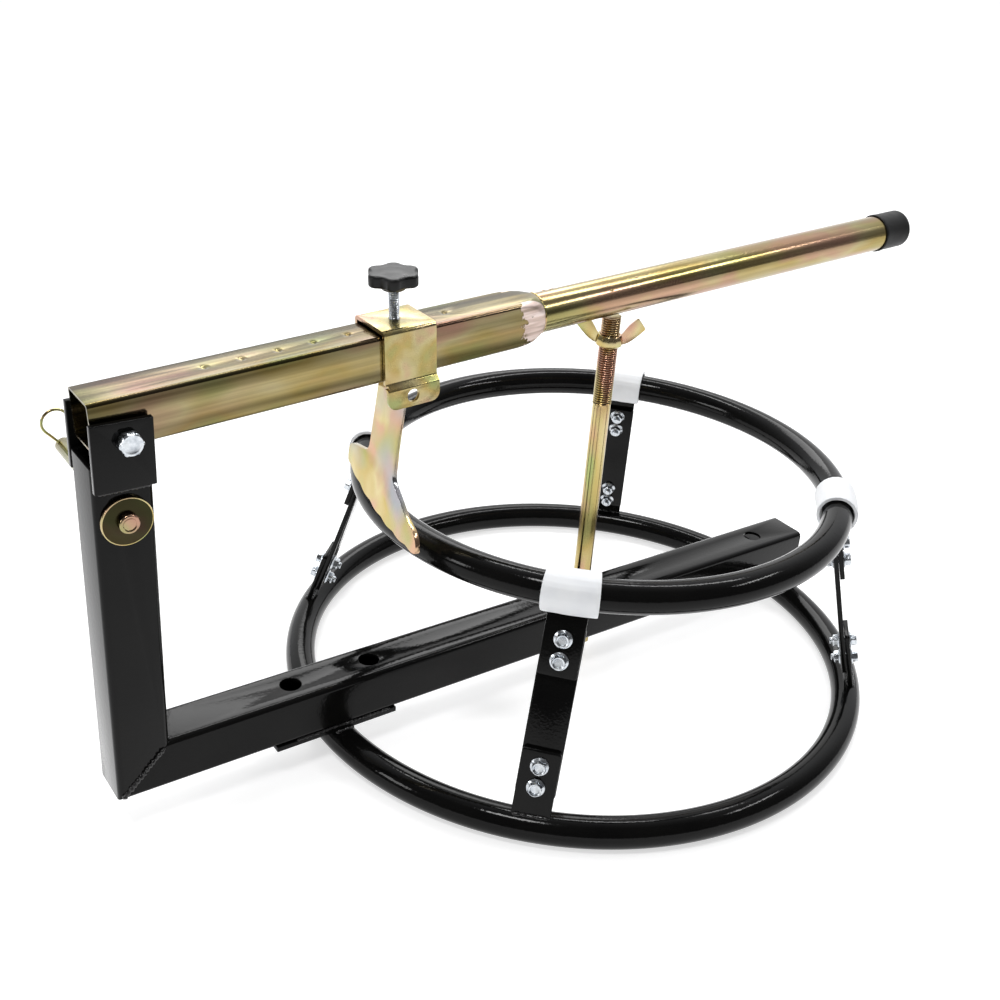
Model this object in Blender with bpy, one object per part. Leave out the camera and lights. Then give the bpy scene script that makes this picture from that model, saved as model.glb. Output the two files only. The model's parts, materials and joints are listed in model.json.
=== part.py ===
"""Portable tyre changing stand: a two-ring wheel rest with a hinged bead breaking lever.

Metres, +Z up. Everything hangs from one empty on the axis of the two rings, at the centre
plane of the lower ring's tube. +X runs along the floor beam away from the upright.
"""
import math

import bmesh
import bpy
from mathutils import Matrix, Vector

GAP = 0.0003

# Two tube rings joined by four bolted straps.
RING_TUBE = 0.0127
LOWER_RING = 0.249
UPPER_RING = 0.2012
RING_RISE = 0.1805
UPPER_SHIFT = (0.004, -0.005)
RING_X = 0.0442
RING_STEPS = 72
RING_SIDES = 12

STRAPS = {"front": 225.0, "right": 315.0, "back": 45.0, "left": 135.0}
LOWER_TAB_RING = 0.254
LOWER_TAB_TURN = -0.25
UPPER_TAB_TURN = 0.5
STRAP_WIDTH = 0.031
STRAP_THICK = 0.004
STRAP_END = 0.027
TAB_WIDTH = 0.030
TAB_ROOT = 0.006
TAB_TIP = 0.065
BOLT_NEAR = 0.0355
BOLT_FAR = 0.0525
BOLT_HOLE = 0.0033

# White clips that keep the wheel rim off the upper ring.
CLIP_INNER = 0.0142
CLIP_OUTER = 0.0172
CLIP_LENGTH = 0.040
CLIP_SLOT_START = -130.0
CLIP_SLOT_END = -50.0

# Floor beam and upright, one square tube size with a mitred corner.
BEAM = 0.040
BEAM_WALL = 0.003
BEAM_CORNER = 0.0045
BEAM_LEFT = -0.4322
BEAM_RIGHT = 0.2688
BEAM_BASE = 0.0178
UPRIGHT_TOP = 0.2855
BEAM_HOLES = (-0.287, -0.2175, 0.2186)
BEAM_HOLE_RADIUS = 0.0085
POST_HOLE = 0.00825
PAD_THICK = 0.0045
PAD_INNER = 0.202
PAD_OUTER = 0.308

# Pivot cheeks on the upright, and the pivot bolt.
CHEEK_RIGHT = -0.3917
CHEEK_THICK = 0.0045
CHEEK_LOW = 0.2705
CHEEK_HIGH = 0.3180
PIVOT_X = -0.4085
PIVOT_Z = 0.304
PIVOT_RADIUS = 0.005
PIVOT_HOLE = 0.00525

# Lever: square tube, round handle and end cap. Its empty sits on the pivot axis.
LEVER_TILT = 0.0617
LEVER = 0.035
LEVER_WALL = 0.0015
LEVER_CORNER = 0.003
LEVER_BASE = -0.008
LEVER_LEFT = -0.0205
LEVER_CRUSH = 0.298
LEVER_RIGHT = 0.330
DIMPLE_START = 0.0627
DIMPLE_PITCH = 0.02661
DIMPLE_COUNT = 8
DIMPLE_RADIUS = 0.0032
DIMPLE_DEPTH = 0.0009
HANDLE_RADIUS = 0.0157
HANDLE_WALL = 0.002
HANDLE_AXIS = 0.0095
HANDLE_LEFT = 0.250
CAP_LEFT = 0.7195
CAP_RIGHT = 0.7535
CAP_RADIUS = 0.0172
CAP_WALL = 0.0012
CAP_FLOOR = 0.0033

# Slider: bent sheet saddle on the lever, its clamp screw and the bead blade.
SLIDER_LEFT = 0.1865
SLIDER_RIGHT = 0.229
SLIDER_INNER = 0.0181
SLIDER_SHEET = 0.003
SLIDER_ROOF = 0.0285
SLIDER_STEP = 0.004
SLIDER_STEP_TOP = -0.0085
SLIDER_BOTTOM = -0.0275
SLIDER_CORNER = 0.007
SLIDER_HOLE = 0.005
SLIDER_HOLE_DROP = -0.0193
STUD_U = 0.2068
STUD_RADIUS = 0.004
STUD_TIP = 0.0273
STUD_TOP = 0.0532
KNOB_BASE = 0.0535
KNOB_TOP = 0.0678
KNOB_RADIUS = 0.0178
KNOB_LOBE = 0.0016
KNOB_LOBES = 6

BLADE_U = 0.205
BLADE_TOP = -0.0092
BLADE_LEAN = 0.1867
BLADE_THICK = 0.004
BLADE_STEM = 0.0175
BLADE_LEG_END = 0.226
SCALLOPS = 5.5
SCALLOP_DEPTH = 0.0013
BLADE_BULGE = 0.0065

# Threaded centre post and its wing nut.
POST_THREAD = 0.008
POST_SHANK = 0.0077
POST_HEAD = 0.024
POST_HEAD_HIGH = 0.010
POST_SHANK_TOP = 0.2440
POST_TOP = 0.3222
WING_Z = 0.2965
WING_BORE = 0.0082
WING_BOSS = 0.0115
WING_BOSS_HIGH = 0.009
WING_TURN = -40.0
WING_THICK = 0.003

# Hitch pin through the upright, with a washer and a spring clip.
PIN_X = -0.4122
PIN_Z = 0.2467
PIN_RADIUS = 0.006
PIN_HOLE = 0.0063
PIN_HEAD = 0.007
PIN_HEAD_LONG = 0.0044
PIN_END = 0.106
WASHER_RADIUS = 0.0175
WASHER_THICK = 0.003
CLIP_WIRE = 0.001
CLIP_Y = 0.101
CLIP_HOLE = 0.0013

FINISHES = {
    "black_paint": ((0.010, 0.010, 0.011), 0.16, 0.0),
    "yellow_zinc": ((0.62, 0.49, 0.26), 0.28, 1.0),
    "bright_zinc": ((0.70, 0.73, 0.76), 0.26, 1.0),
    "white_plastic": ((0.86, 0.86, 0.87), 0.42, 0.0),
    "black_plastic": ((0.012, 0.012, 0.013), 0.22, 0.0),
    "black_rubber": ((0.018, 0.018, 0.018), 0.60, 0.0),
}


def clear_scene():
    for item in list(bpy.data.objects):
        bpy.data.objects.remove(item, do_unlink=True)


def place(item, parent, location, rotation):
    bpy.context.scene.collection.objects.link(item)
    item.parent = parent
    item.location = location
    item.rotation_euler = rotation
    return item


def empty(name, parent=None, location=(0, 0, 0), rotation=(0, 0, 0)):
    return place(bpy.data.objects.new(name, None), parent, location, rotation)


def finish_material(name, finish):
    colour, roughness, metallic = FINISHES[finish]
    material = bpy.data.materials.new(name + "_" + finish)
    material.use_nodes = True
    shader = material.node_tree.nodes["Principled BSDF"]
    shader.inputs["Base Color"].default_value = (*colour, 1.0)
    shader.inputs["Roughness"].default_value = roughness
    shader.inputs["Metallic"].default_value = metallic
    return material


def mesh_from(name, shape):
    bmesh.ops.recalc_face_normals(shape, faces=shape.faces)
    mesh = bpy.data.meshes.new(name)
    shape.to_mesh(mesh)
    shape.free()
    return mesh


def solid(name, shape, finish, parent, location=(0, 0, 0), rotation=(0, 0, 0)):
    mesh = mesh_from(name, shape)
    mesh.materials.append(finish_material(name, finish))
    mesh.shade_smooth()
    mesh.set_sharp_from_angle(angle=math.radians(32))
    return place(bpy.data.objects.new(name, mesh), parent, location, rotation)


def tool(name, shape, parent, location=(0, 0, 0), rotation=(0, 0, 0)):
    item = place(bpy.data.objects.new(name, mesh_from(name, shape)), parent, location, rotation)
    item.hide_render = True
    item.display_type = "WIRE"
    return item


def combine(target, operand, operation):
    step = target.modifiers.new(operand.name, "BOOLEAN")
    step.operation = operation
    step.solver = "EXACT"
    step.object = operand


def loft(shape, rings, loop=False):
    """Skin a row of point rings; a loop joins the last ring to the first, else both ends are capped."""
    rows = [[shape.verts.new(point) for point in ring] for ring in rings]
    count = len(rows[0])
    pairs = list(zip(rows, rows[1:]))
    if loop:
        pairs.append((rows[-1], rows[0]))
    for low, high in pairs:
        for k in range(count):
            following = (k + 1) % count
            shape.faces.new((low[k], low[following], high[following], high[k]))
    if not loop:
        shape.faces.new(list(reversed(rows[0])))
        shape.faces.new(rows[-1])
    return shape


def circle(radius, count=24):
    return [(radius * math.cos(math.tau * k / count), radius * math.sin(math.tau * k / count))
            for k in range(count)]


def hexagon(across_flats, count=12):
    points = []
    for k in range(count):
        angle = math.tau * k / count
        off_flat = (angle % math.radians(60)) - math.radians(30)
        radius = across_flats / 2 / math.cos(off_flat)
        points.append((radius * math.cos(angle), radius * math.sin(angle)))
    return points


def lobed(radius, lobe, count=48):
    points = []
    for k in range(count):
        angle = math.tau * k / count
        reach = radius + lobe * math.cos(KNOB_LOBES * angle)
        points.append((reach * math.cos(angle), reach * math.sin(angle)))
    return points


def rounded_square(half, corner, steps=3):
    points = []
    for quarter in range(4):
        middle = math.radians(45 + 90 * quarter)
        reach = (half - corner) * math.sqrt(2)
        for k in range(steps + 1):
            angle = math.radians(90 * quarter + 90 * k / steps)
            points.append((reach * math.cos(middle) + corner * math.cos(angle),
                           reach * math.sin(middle) + corner * math.sin(angle)))
    return points


def level(points, height):
    return [(x, y, height) for x, y in points]


def stack(shape, sections):
    return loft(shape, [level(points, height) for points, height in sections])


def turned(shape, profile, count=24, loop=False):
    """Round body from (radius, height) pairs."""
    return loft(shape, [level(circle(radius, count), height) for radius, height in profile], loop)


def box(shape, low, high):
    corners = [(low[0], low[1]), (high[0], low[1]), (high[0], high[1]), (low[0], high[1])]
    return stack(shape, [(corners, low[2]), (corners, high[2])])


def shifted(shape, matrix):
    bmesh.ops.transform(shape, matrix=matrix, verts=shape.verts)
    return shape


def merged(shapes):
    whole = bmesh.new()
    for piece in shapes:
        mesh = mesh_from("piece", piece)
        whole.from_mesh(mesh)
        bpy.data.meshes.remove(mesh)
    return whole


def cylinder_between(start, end, radius, count=24):
    """Closed cylinder as its own shape, for cutters."""
    start = Vector(start)
    along = Vector(end) - start
    shape = turned(bmesh.new(), [(radius, 0), (radius, along.length)], count)
    turn = along.to_track_quat("Z", "Y").to_matrix().to_4x4()
    return shifted(shape, Matrix.Translation(start) @ turn)


def ring_shape(radius):
    rings = []
    for k in range(RING_STEPS):
        azimuth = math.tau * k / RING_STEPS
        rings.append([((radius + out) * math.cos(azimuth), (radius + out) * math.sin(azimuth), up)
                      for out, up in circle(RING_TUBE, RING_SIDES)])
    return loft(bmesh.new(), rings, loop=True)


def upper_centre():
    return Vector((*UPPER_SHIFT, RING_RISE))


def strap_frame(degrees):
    """Strap axes: X along the ring, Y inward across the sheet, Z up the strap."""
    low = math.radians(degrees + LOWER_TAB_TURN)
    high = math.radians(degrees + UPPER_TAB_TURN)
    start = Vector((math.cos(low), math.sin(low), 0)) * LOWER_TAB_RING
    end = upper_centre() + Vector((math.cos(high), math.sin(high), 0)) * UPPER_RING
    climb = end - start
    up = climb.normalized()
    tangent = Vector((-math.sin(low), math.cos(low), 0))
    along = (tangent - up * tangent.dot(up)).normalized()
    inward = up.cross(along)
    turn = Matrix((along, inward, up)).transposed()
    return start, turn, climb.length


def build_rings(stand):
    lower = solid("lower_ring", ring_shape(LOWER_RING), "black_paint", stand)
    upper = solid("upper_ring", ring_shape(UPPER_RING), "black_paint", stand, upper_centre())
    tabs = {"lower": [], "upper": []}
    holes = {"lower": [], "upper": []}
    half = TAB_WIDTH / 2
    thick = STRAP_THICK / 2
    for degrees in STRAPS.values():
        start, turn, length = strap_frame(degrees)
        matrix = Matrix.Translation(start) @ turn.to_4x4()
        spans = {"lower": (TAB_ROOT, TAB_TIP), "upper": (length - TAB_TIP, length - TAB_ROOT)}
        bolts = {"lower": (BOLT_NEAR, BOLT_FAR), "upper": (length - BOLT_FAR, length - BOLT_NEAR)}
        for end in ("lower", "upper"):
            low, high = spans[end]
            tab = box(bmesh.new(), (-half, -thick, low), (half, thick, high))
            tabs[end].append(shifted(tab, matrix))
            for height in bolts[end]:
                hole = cylinder_between((0, -2 * thick, height), (0, 2 * thick, height), BOLT_HOLE, 12)
                holes[end].append(shifted(hole, matrix))
    for ring, end in ((lower, "lower"), (upper, "upper")):
        combine(ring, tool(end + "_tabs", merged(tabs[end]), stand), "UNION")
        combine(ring, tool(end + "_tab_holes", merged(holes[end]), stand), "DIFFERENCE")


def flange_bolt():
    """Hex flange bolt and flange nut in one body, along Z from head to thread end."""
    clamp = 2 * STRAP_THICK + 3 * GAP
    head = hexagon(0.0100)
    flange = circle(0.0072, 12)
    shank = circle(0.003, 12)
    sections = [(head, -0.0062), (head, -0.0014), (flange, -0.0010), (flange, 0), (shank, 0),
                (shank, clamp), (flange, clamp), (flange, clamp + 0.0010), (head, clamp + 0.0014),
                (head, clamp + 0.0058), (shank, clamp + 0.0058), (shank, clamp + 0.0085)]
    return stack(bmesh.new(), sections)


def rim_clip():
    """C-shaped sleeve that follows the ring, open below."""
    profile = []
    angles = [math.radians(CLIP_SLOT_END + (360 + CLIP_SLOT_START - CLIP_SLOT_END) * k / 14)
              for k in range(15)]
    for angle in angles:
        profile.append((CLIP_OUTER * math.cos(angle), CLIP_OUTER * math.sin(angle)))
    for angle in reversed(angles):
        profile.append((CLIP_INNER * math.cos(angle), CLIP_INNER * math.sin(angle)))
    rings = []
    for k in range(5):
        swing = (k / 4 - 0.5) * CLIP_LENGTH / UPPER_RING
        rings.append([((UPPER_RING + out) * math.cos(swing), (UPPER_RING + out) * math.sin(swing), up)
                      for out, up in profile])
    return loft(bmesh.new(), rings)


def build_straps(stand):
    half = STRAP_WIDTH / 2
    inner = STRAP_THICK / 2 + GAP
    for name, degrees in STRAPS.items():
        start, turn, length = strap_frame(degrees)
        frame = empty("strap_frame_" + name, stand, start, turn.to_euler())
        strap = box(bmesh.new(), (-half, inner, STRAP_END), (half, inner + STRAP_THICK, length - STRAP_END))
        strap = solid("strap_" + name, strap, "black_paint", frame)
        heights = (BOLT_NEAR, BOLT_FAR, length - BOLT_FAR, length - BOLT_NEAR)
        holes = [cylinder_between((0, 0, height), (0, inner + 2 * STRAP_THICK, height), BOLT_HOLE, 12)
                 for height in heights]
        combine(strap, tool("strap_holes_" + name, merged(holes), frame), "DIFFERENCE")
        for number, height in enumerate(heights, 1):
            seat = -STRAP_THICK / 2 - GAP
            solid("strap_bolt_%s_%d" % (name, number), flange_bolt(), "bright_zinc", frame,
                  (0, seat, height), (-math.pi / 2, 0, 0))
        swing = math.radians(degrees + UPPER_TAB_TURN)
        solid("rim_clip_" + name, rim_clip(), "white_plastic", stand, upper_centre(), (0, 0, swing))


def square_tube(half, wall, corner, start, end):
    """Hollow square tube along X; start and end give the cut's X at a point (y, z) of the section."""
    outer = rounded_square(half, corner)
    inner = rounded_square(half - wall, corner - wall * 0.7)

    def cut(points, edge):
        return [(edge(y, z), y, z) for y, z in points]

    return loft(bmesh.new(), [cut(outer, start), cut(outer, end), cut(inner, end), cut(inner, start)], True)


def build_beam(stand):
    half = BEAM / 2
    mitre = GAP / math.sqrt(2)
    length = BEAM_RIGHT - BEAM_LEFT
    beam = square_tube(half, BEAM_WALL, BEAM_CORNER,
                       lambda y, z: half + z + mitre, lambda y, z: length)
    beam = solid("cross_arm", beam, "black_paint", stand, (BEAM_LEFT, 0, BEAM_BASE + half))
    top = BEAM_BASE + BEAM
    cuts = [cylinder_between((x, 0, top - 2 * BEAM_WALL), (x, 0, top + BEAM_WALL), BEAM_HOLE_RADIUS)
            for x in BEAM_HOLES]
    cuts.append(cylinder_between((0, 0, BEAM_BASE - BEAM_WALL), (0, 0, top + BEAM_WALL), POST_HOLE))
    combine(beam, tool("cross_arm_holes", merged(cuts), stand), "DIFFERENCE")

    height = UPRIGHT_TOP - BEAM_BASE
    upright = square_tube(half, BEAM_WALL, BEAM_CORNER,
                          lambda y, z: half - z + mitre, lambda y, z: height)
    upright = solid("upright", upright, "black_paint", stand,
                    (BEAM_LEFT + half, 0, BEAM_BASE), (0, -math.pi / 2, 0))
    pin_hole = cylinder_between((PIN_X, -BEAM, PIN_Z), (PIN_X, BEAM, PIN_Z), PIN_HOLE)
    combine(upright, tool("upright_pin_hole", pin_hole, stand), "DIFFERENCE")

    low = RING_TUBE + GAP
    for name, ends in (("left", (-PAD_OUTER, -PAD_INNER)), ("right", (PAD_INNER, BEAM_RIGHT))):
        pad = box(bmesh.new(), (ends[0], -half, low), (ends[1], half, low + PAD_THICK))
        solid("weld_pad_" + name, pad, "black_paint", stand)


def build_cheeks(stand):
    inner = BEAM / 2 + GAP
    for name, side in (("near", -1), ("far", 1)):
        faces = sorted((side * inner, side * (inner + CHEEK_THICK)))
        plate = box(bmesh.new(), (BEAM_LEFT, faces[0], CHEEK_LOW), (CHEEK_RIGHT, faces[1], CHEEK_HIGH))
        plate = solid("pivot_cheek_" + name, plate, "black_paint", stand)
        hole = cylinder_between((PIVOT_X, faces[0] - GAP, PIVOT_Z), (PIVOT_X, faces[1] + GAP, PIVOT_Z),
                                PIVOT_HOLE)
        combine(plate, tool("pivot_cheek_hole_" + name, hole, stand), "DIFFERENCE")
    seat = inner + CHEEK_THICK + GAP
    head = hexagon(0.015, 24)
    shank = circle(PIVOT_RADIUS)
    sections = [(hexagon(0.0132, 24), -seat - 0.0066), (head, -seat - 0.0058), (head, -seat),
                (shank, -seat), (shank, seat), (head, seat), (head, seat + 0.008),
                (shank, seat + 0.008), (shank, seat + 0.011)]
    solid("pivot_bolt", stack(bmesh.new(), sections), "bright_zinc", stand,
          (PIVOT_X, 0, PIVOT_Z), (-math.pi / 2, 0, 0))


def build_lever(lever):
    half = LEVER / 2
    middle = LEVER_BASE + half
    outer = rounded_square(half, LEVER_CORNER)
    inner = rounded_square(half - LEVER_WALL, LEVER_CORNER - LEVER_WALL)
    crushed_outer = rounded_square(half - 0.0003, 0.010)
    crushed_inner = rounded_square(half - LEVER_WALL, 0.0095)

    def at(points, u):
        return [(u, y, z + middle) for y, z in points]

    tube = loft(bmesh.new(), [at(outer, LEVER_LEFT), at(outer, LEVER_CRUSH), at(crushed_outer, LEVER_RIGHT),
                              at(crushed_inner, LEVER_RIGHT), at(inner, LEVER_CRUSH), at(inner, LEVER_LEFT)],
                True)
    tube = solid("lever_tube", tube, "yellow_zinc", lever)
    top = LEVER_BASE + LEVER
    dimples = []
    for k in range(DIMPLE_COUNT):
        u = DIMPLE_START + k * DIMPLE_PITCH
        punch = turned(bmesh.new(), [(0.0004, -DIMPLE_DEPTH), (DIMPLE_RADIUS, 0), (DIMPLE_RADIUS, 0.002)], 12)
        dimples.append(shifted(punch, Matrix.Translation((u, 0, top))))
    combine(tube, tool("lever_dimples", merged(dimples), lever), "DIFFERENCE")
    pivot_hole = cylinder_between((0, -LEVER, 0), (0, LEVER, 0), PIVOT_HOLE)
    combine(tube, tool("lever_pivot_hole", pivot_hole, lever), "DIFFERENCE")

    end = CAP_RIGHT - CAP_FLOOR - GAP
    bore = HANDLE_RADIUS - HANDLE_WALL
    length = end - HANDLE_LEFT
    pipe = turned(bmesh.new(), [(HANDLE_RADIUS, 0), (HANDLE_RADIUS, length), (bore, length), (bore, 0)],
                  32, True)
    turn_along_u = (0, math.pi / 2, 0)
    solid("handle_tube", pipe, "yellow_zinc", lever, (HANDLE_LEFT, 0, HANDLE_AXIS), turn_along_u)

    deep = CAP_RIGHT - CAP_LEFT
    inside = CAP_RADIUS - CAP_WALL
    cap = turned(bmesh.new(), [(inside, deep - CAP_FLOOR), (inside, 0), (CAP_RADIUS - 0.0003, 0),
                               (CAP_RADIUS, 0.0006), (CAP_RADIUS, deep - 0.0036),
                               (CAP_RADIUS - 0.0011, deep - 0.0011), (CAP_RADIUS - 0.0036, deep)], 32)
    solid("handle_cap", cap, "black_rubber", lever, (CAP_LEFT, 0, HANDLE_AXIS), turn_along_u)


def saddle_section():
    """Half outline of the bent sheet, from the roof's centre down the outside and back up the inside."""
    inner = SLIDER_INNER
    outer = SLIDER_INNER + SLIDER_SHEET
    roof = SLIDER_ROOF
    step = SLIDER_STEP_TOP
    down = SLIDER_BOTTOM
    spread = SLIDER_STEP
    bend = 0.0012
    outside = [(outer - 0.003, roof + SLIDER_SHEET), (outer - 0.0009, roof + SLIDER_SHEET - 0.0009),
               (outer, roof), (outer, step), (outer + spread, step - spread), (outer + spread, down)]
    inside = [(inner + spread, down), (inner + spread, step - spread - bend), (inner, step - bend),
              (inner, roof)]
    return outside + inside


def build_slider(slider):
    half_outline = saddle_section()
    outline = half_outline + [(-y, n) for y, n in reversed(half_outline)]
    width = SLIDER_RIGHT - SLIDER_LEFT
    sheet = loft(bmesh.new(), [[(0, y, n) for y, n in outline], [(width, y, n) for y, n in outline]])
    sheet = solid("slider", sheet, "yellow_zinc", slider, (SLIDER_LEFT, 0, 0))
    reach = SLIDER_INNER + 3 * SLIDER_SHEET
    over = 0.002
    side = [(-over, LEVER), (-over, SLIDER_STEP_TOP)]
    for centre, start in ((SLIDER_CORNER, 180), (width - SLIDER_CORNER, 270)):
        for k in range(7):
            angle = math.radians(start + 15 * k)
            side.append((centre + SLIDER_CORNER * math.cos(angle),
                         SLIDER_BOTTOM + SLIDER_CORNER + SLIDER_CORNER * math.sin(angle)))
    side += [(width + over, SLIDER_STEP_TOP), (width + over, LEVER)]
    block = loft(bmesh.new(), [[(u, y, n) for u, n in side] for y in (-reach, reach)])
    combine(sheet, tool("slider_side_outline", block, slider, (SLIDER_LEFT, 0, 0)), "INTERSECT")
    holes = [cylinder_between((STUD_U, -reach, SLIDER_HOLE_DROP), (STUD_U, reach, SLIDER_HOLE_DROP), SLIDER_HOLE),
             cylinder_between((STUD_U, 0, SLIDER_ROOF - GAP), (STUD_U, 0, LEVER), STUD_RADIUS + GAP)]
    combine(sheet, tool("slider_holes", merged(holes), slider), "DIFFERENCE")


def blade_outline():
    """Blade seen square on, as (y, distance below the bend)."""
    far = [(BLADE_STEM, 0), (BLADE_STEM, 0.069), (0.0188, 0.070), (0.0426, 0.075), (0.0455, 0.0778),
           (0.0462, 0.0815), (0.045, 0.090)]
    start = Vector((0.040, 0.0916))
    end = Vector((-0.059, 0.1186))
    chord = end - start
    normal = Vector((-chord.y, chord.x)).normalized()
    if normal.y < 0:
        normal = -normal
    edge = []
    count = 44
    for k in range(count + 1):
        s = k / count
        swell = BLADE_BULGE * 4 * s * (1 - s)
        notch = SCALLOP_DEPTH * abs(math.sin(math.pi * SCALLOPS * s))
        point = start + chord * s + normal * (swell + notch)
        edge.append((point.x, point.y))
    near = [(-0.0635, 0.118), (-0.0613, 0.110), (-0.055, 0.1034), (-0.0436, 0.0976), (-0.0345, 0.0905),
            (-0.0254, 0.084), (-0.0195, 0.0786), (-0.0195, 0.073), (-BLADE_STEM, 0.050), (-BLADE_STEM, 0)]
    return far + edge + near


def build_blade(slider):
    outline = blade_outline()
    plate = loft(bmesh.new(), [[(x, y, -w) for y, w in outline] for x in (0, BLADE_THICK)])
    blade = solid("bead_blade", plate, "yellow_zinc", slider, (BLADE_U, 0, BLADE_TOP), (0, BLADE_LEAN, 0))
    inset = BLADE_THICK / 8
    leg = box(bmesh.new(), (BLADE_U + inset, -BLADE_STEM - inset, BLADE_TOP - BLADE_THICK),
              (BLADE_LEG_END, BLADE_STEM + inset, BLADE_TOP))
    combine(blade, tool("bead_blade_leg", leg, slider), "UNION")


def build_clamp(slider):
    screw = empty("clamp_screw_axis", slider, (STUD_U, 0, STUD_TIP))
    length = STUD_TOP - STUD_TIP
    stud = turned(bmesh.new(), [(STUD_RADIUS - 0.001, 0), (STUD_RADIUS, 0.001), (STUD_RADIUS, length)], 20)
    solid("clamp_stud", stud, "bright_zinc", screw)
    high = KNOB_TOP - KNOB_BASE
    rim = KNOB_RADIUS
    sections = [(circle(0.0085, 48), 0), (circle(0.0105, 48), 0.003), (lobed(rim - 0.0025, KNOB_LOBE), 0.0042),
                (lobed(rim, KNOB_LOBE), 0.0058), (lobed(rim, KNOB_LOBE), high - 0.0020),
                (lobed(rim - 0.0014, KNOB_LOBE), high - 0.0009), (lobed(rim - 0.005, KNOB_LOBE * 0.6), high - 0.0008),
                (circle(0.007, 48), high - 0.0002), (circle(0.002, 48), high)]
    solid("clamp_knob", stack(bmesh.new(), sections), "black_plastic", screw, (0, 0, KNOB_BASE - STUD_TIP))


def build_post(stand):
    head = hexagon(POST_HEAD, 24)
    shank = circle(POST_SHANK)
    thread = circle(POST_THREAD)
    foot = BEAM_BASE - GAP - POST_HEAD_HIGH
    seat = BEAM_BASE - GAP
    sections = [(hexagon(POST_HEAD - 0.002, 24), foot), (head, foot + 0.001), (head, seat), (shank, seat),
                (shank, POST_SHANK_TOP), (thread, POST_SHANK_TOP + 0.0003), (thread, POST_TOP - 0.0012),
                (circle(POST_THREAD - 0.0012), POST_TOP)]
    solid("centre_post", stack(bmesh.new(), sections), "yellow_zinc", stand)

    boss = turned(bmesh.new(), [(WING_BOSS - 0.0006, 0), (WING_BOSS, 0.0006), (WING_BOSS, 0.005),
                                (WING_BOSS - 0.0014, WING_BOSS_HIGH), (WING_BORE, WING_BOSS_HIGH),
                                (WING_BORE, 0)], 24, True)
    turn = (0, 0, math.radians(WING_TURN))
    nut = solid("wing_nut", boss, "yellow_zinc", stand, (0, 0, WING_Z), turn)
    wing = [(0.0088, 0.0007), (0.0135, 0.0020), (0.0185, 0.0055), (0.0235, 0.0103), (0.0281, 0.0156),
            (0.0283, 0.0167), (0.0222, 0.0238), (0.0208, 0.0240), (0.0150, 0.0176), (0.0112, 0.0118), (0.0088, 0.0085)]
    half = WING_THICK / 2
    wings = [loft(bmesh.new(), [[(side * out, y, up) for out, up in wing] for y in (-half, half)])
             for side in (-1, 1)]
    combine(nut, tool("wing_nut_wings", merged(wings), stand, (0, 0, WING_Z), turn), "UNION")


def clip_route():
    """Spring clip's centreline in the pin's cross plane, as (x, z) from the pin's centre."""
    loop_x, loop_z, loop_r = -0.0051, 0.0203, 0.0096
    lead = Vector((-0.66, 0.75)).normalized()
    points = [lead * -0.0088, lead * -0.003, lead * 0.003, lead * 0.009, lead * 0.015]
    start, end, steps = 215.0, 15.0, 14
    for k in range(steps + 1):
        angle = math.radians(start + (end - start) * k / steps)
        points.append(Vector((loop_x + loop_r * math.cos(angle), loop_z + loop_r * math.sin(angle))))
    points += [Vector((0.0053, 0.017)), Vector((0.0062, 0.0105)), Vector((0.0072, 0.004)),
               Vector((0.0075, 0)), Vector((0.0086, -0.005)), Vector((0.0112, -0.0098))]
    return points


def build_pin(stand):
    washer_in = BEAM / 2 + GAP
    lay_along_y = (-math.pi / 2, 0, 0)
    washer_axis = empty("hitch_washer_axis", stand, (PIN_X, 0, PIN_Z))
    disc = turned(bmesh.new(), [(WASHER_RADIUS - 0.0005, 0), (WASHER_RADIUS, 0.0005),
                                (WASHER_RADIUS, WASHER_THICK), (PIN_HOLE, WASHER_THICK), (PIN_HOLE, 0)],
                  36, True)
    solid("hitch_washer", disc, "yellow_zinc", washer_axis, (0, -washer_in - WASHER_THICK, 0), lay_along_y)

    pin_axis = empty("hitch_pin_axis", washer_axis)
    head_in = washer_in + WASHER_THICK + GAP
    head_out = -head_in - PIN_HEAD_LONG
    profile = [(PIN_HEAD - 0.001, head_out), (PIN_HEAD, head_out + 0.001), (PIN_HEAD, -head_in),
               (PIN_RADIUS, -head_in), (PIN_RADIUS, PIN_END - 0.0015), (PIN_RADIUS - 0.0015, PIN_END)]
    pin = solid("hitch_pin", turned(bmesh.new(), profile), "yellow_zinc", pin_axis, (0, 0, 0), lay_along_y)
    lead = Vector((-0.66, 0, 0.75)).normalized() * 2 * PIN_RADIUS
    cross = Vector((0, CLIP_Y, 0))
    hole = cylinder_between(cross - lead, cross + lead, CLIP_HOLE, 12)
    combine(pin, tool("hitch_pin_cross_hole", hole, pin_axis), "DIFFERENCE")

    wire = bpy.data.curves.new("spring_clip", "CURVE")
    wire.dimensions = "3D"
    wire.bevel_depth = CLIP_WIRE
    wire.bevel_resolution = 2
    wire.use_fill_caps = True
    spline = wire.splines.new("POLY")
    route = clip_route()
    spline.points.add(len(route) - 1)
    for point, place_at in zip(spline.points, route):
        point.co = (place_at.x, CLIP_Y, place_at.y, 1)
    wire.materials.append(finish_material("spring_clip", "yellow_zinc"))
    place(bpy.data.objects.new("spring_clip", wire), pin_axis, (0, 0, 0), (0, 0, 0))


def build_stand():
    clear_scene()
    stand = empty("stand_axis", None, (RING_X, 0, RING_TUBE))
    build_rings(stand)
    build_straps(stand)
    build_beam(stand)
    build_cheeks(stand)
    lever = empty("lever_axis", stand, (PIVOT_X, 0, PIVOT_Z), (0, -LEVER_TILT, 0))
    build_lever(lever)
    slider = empty("slider_axis", lever)
    build_slider(slider)
    build_blade(slider)
    build_clamp(slider)
    build_post(stand)
    build_pin(stand)


build_stand()
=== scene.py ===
import json
import math

import bmesh
import bpy
import numpy as np
from mathutils import Matrix, Vector, noise


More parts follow.
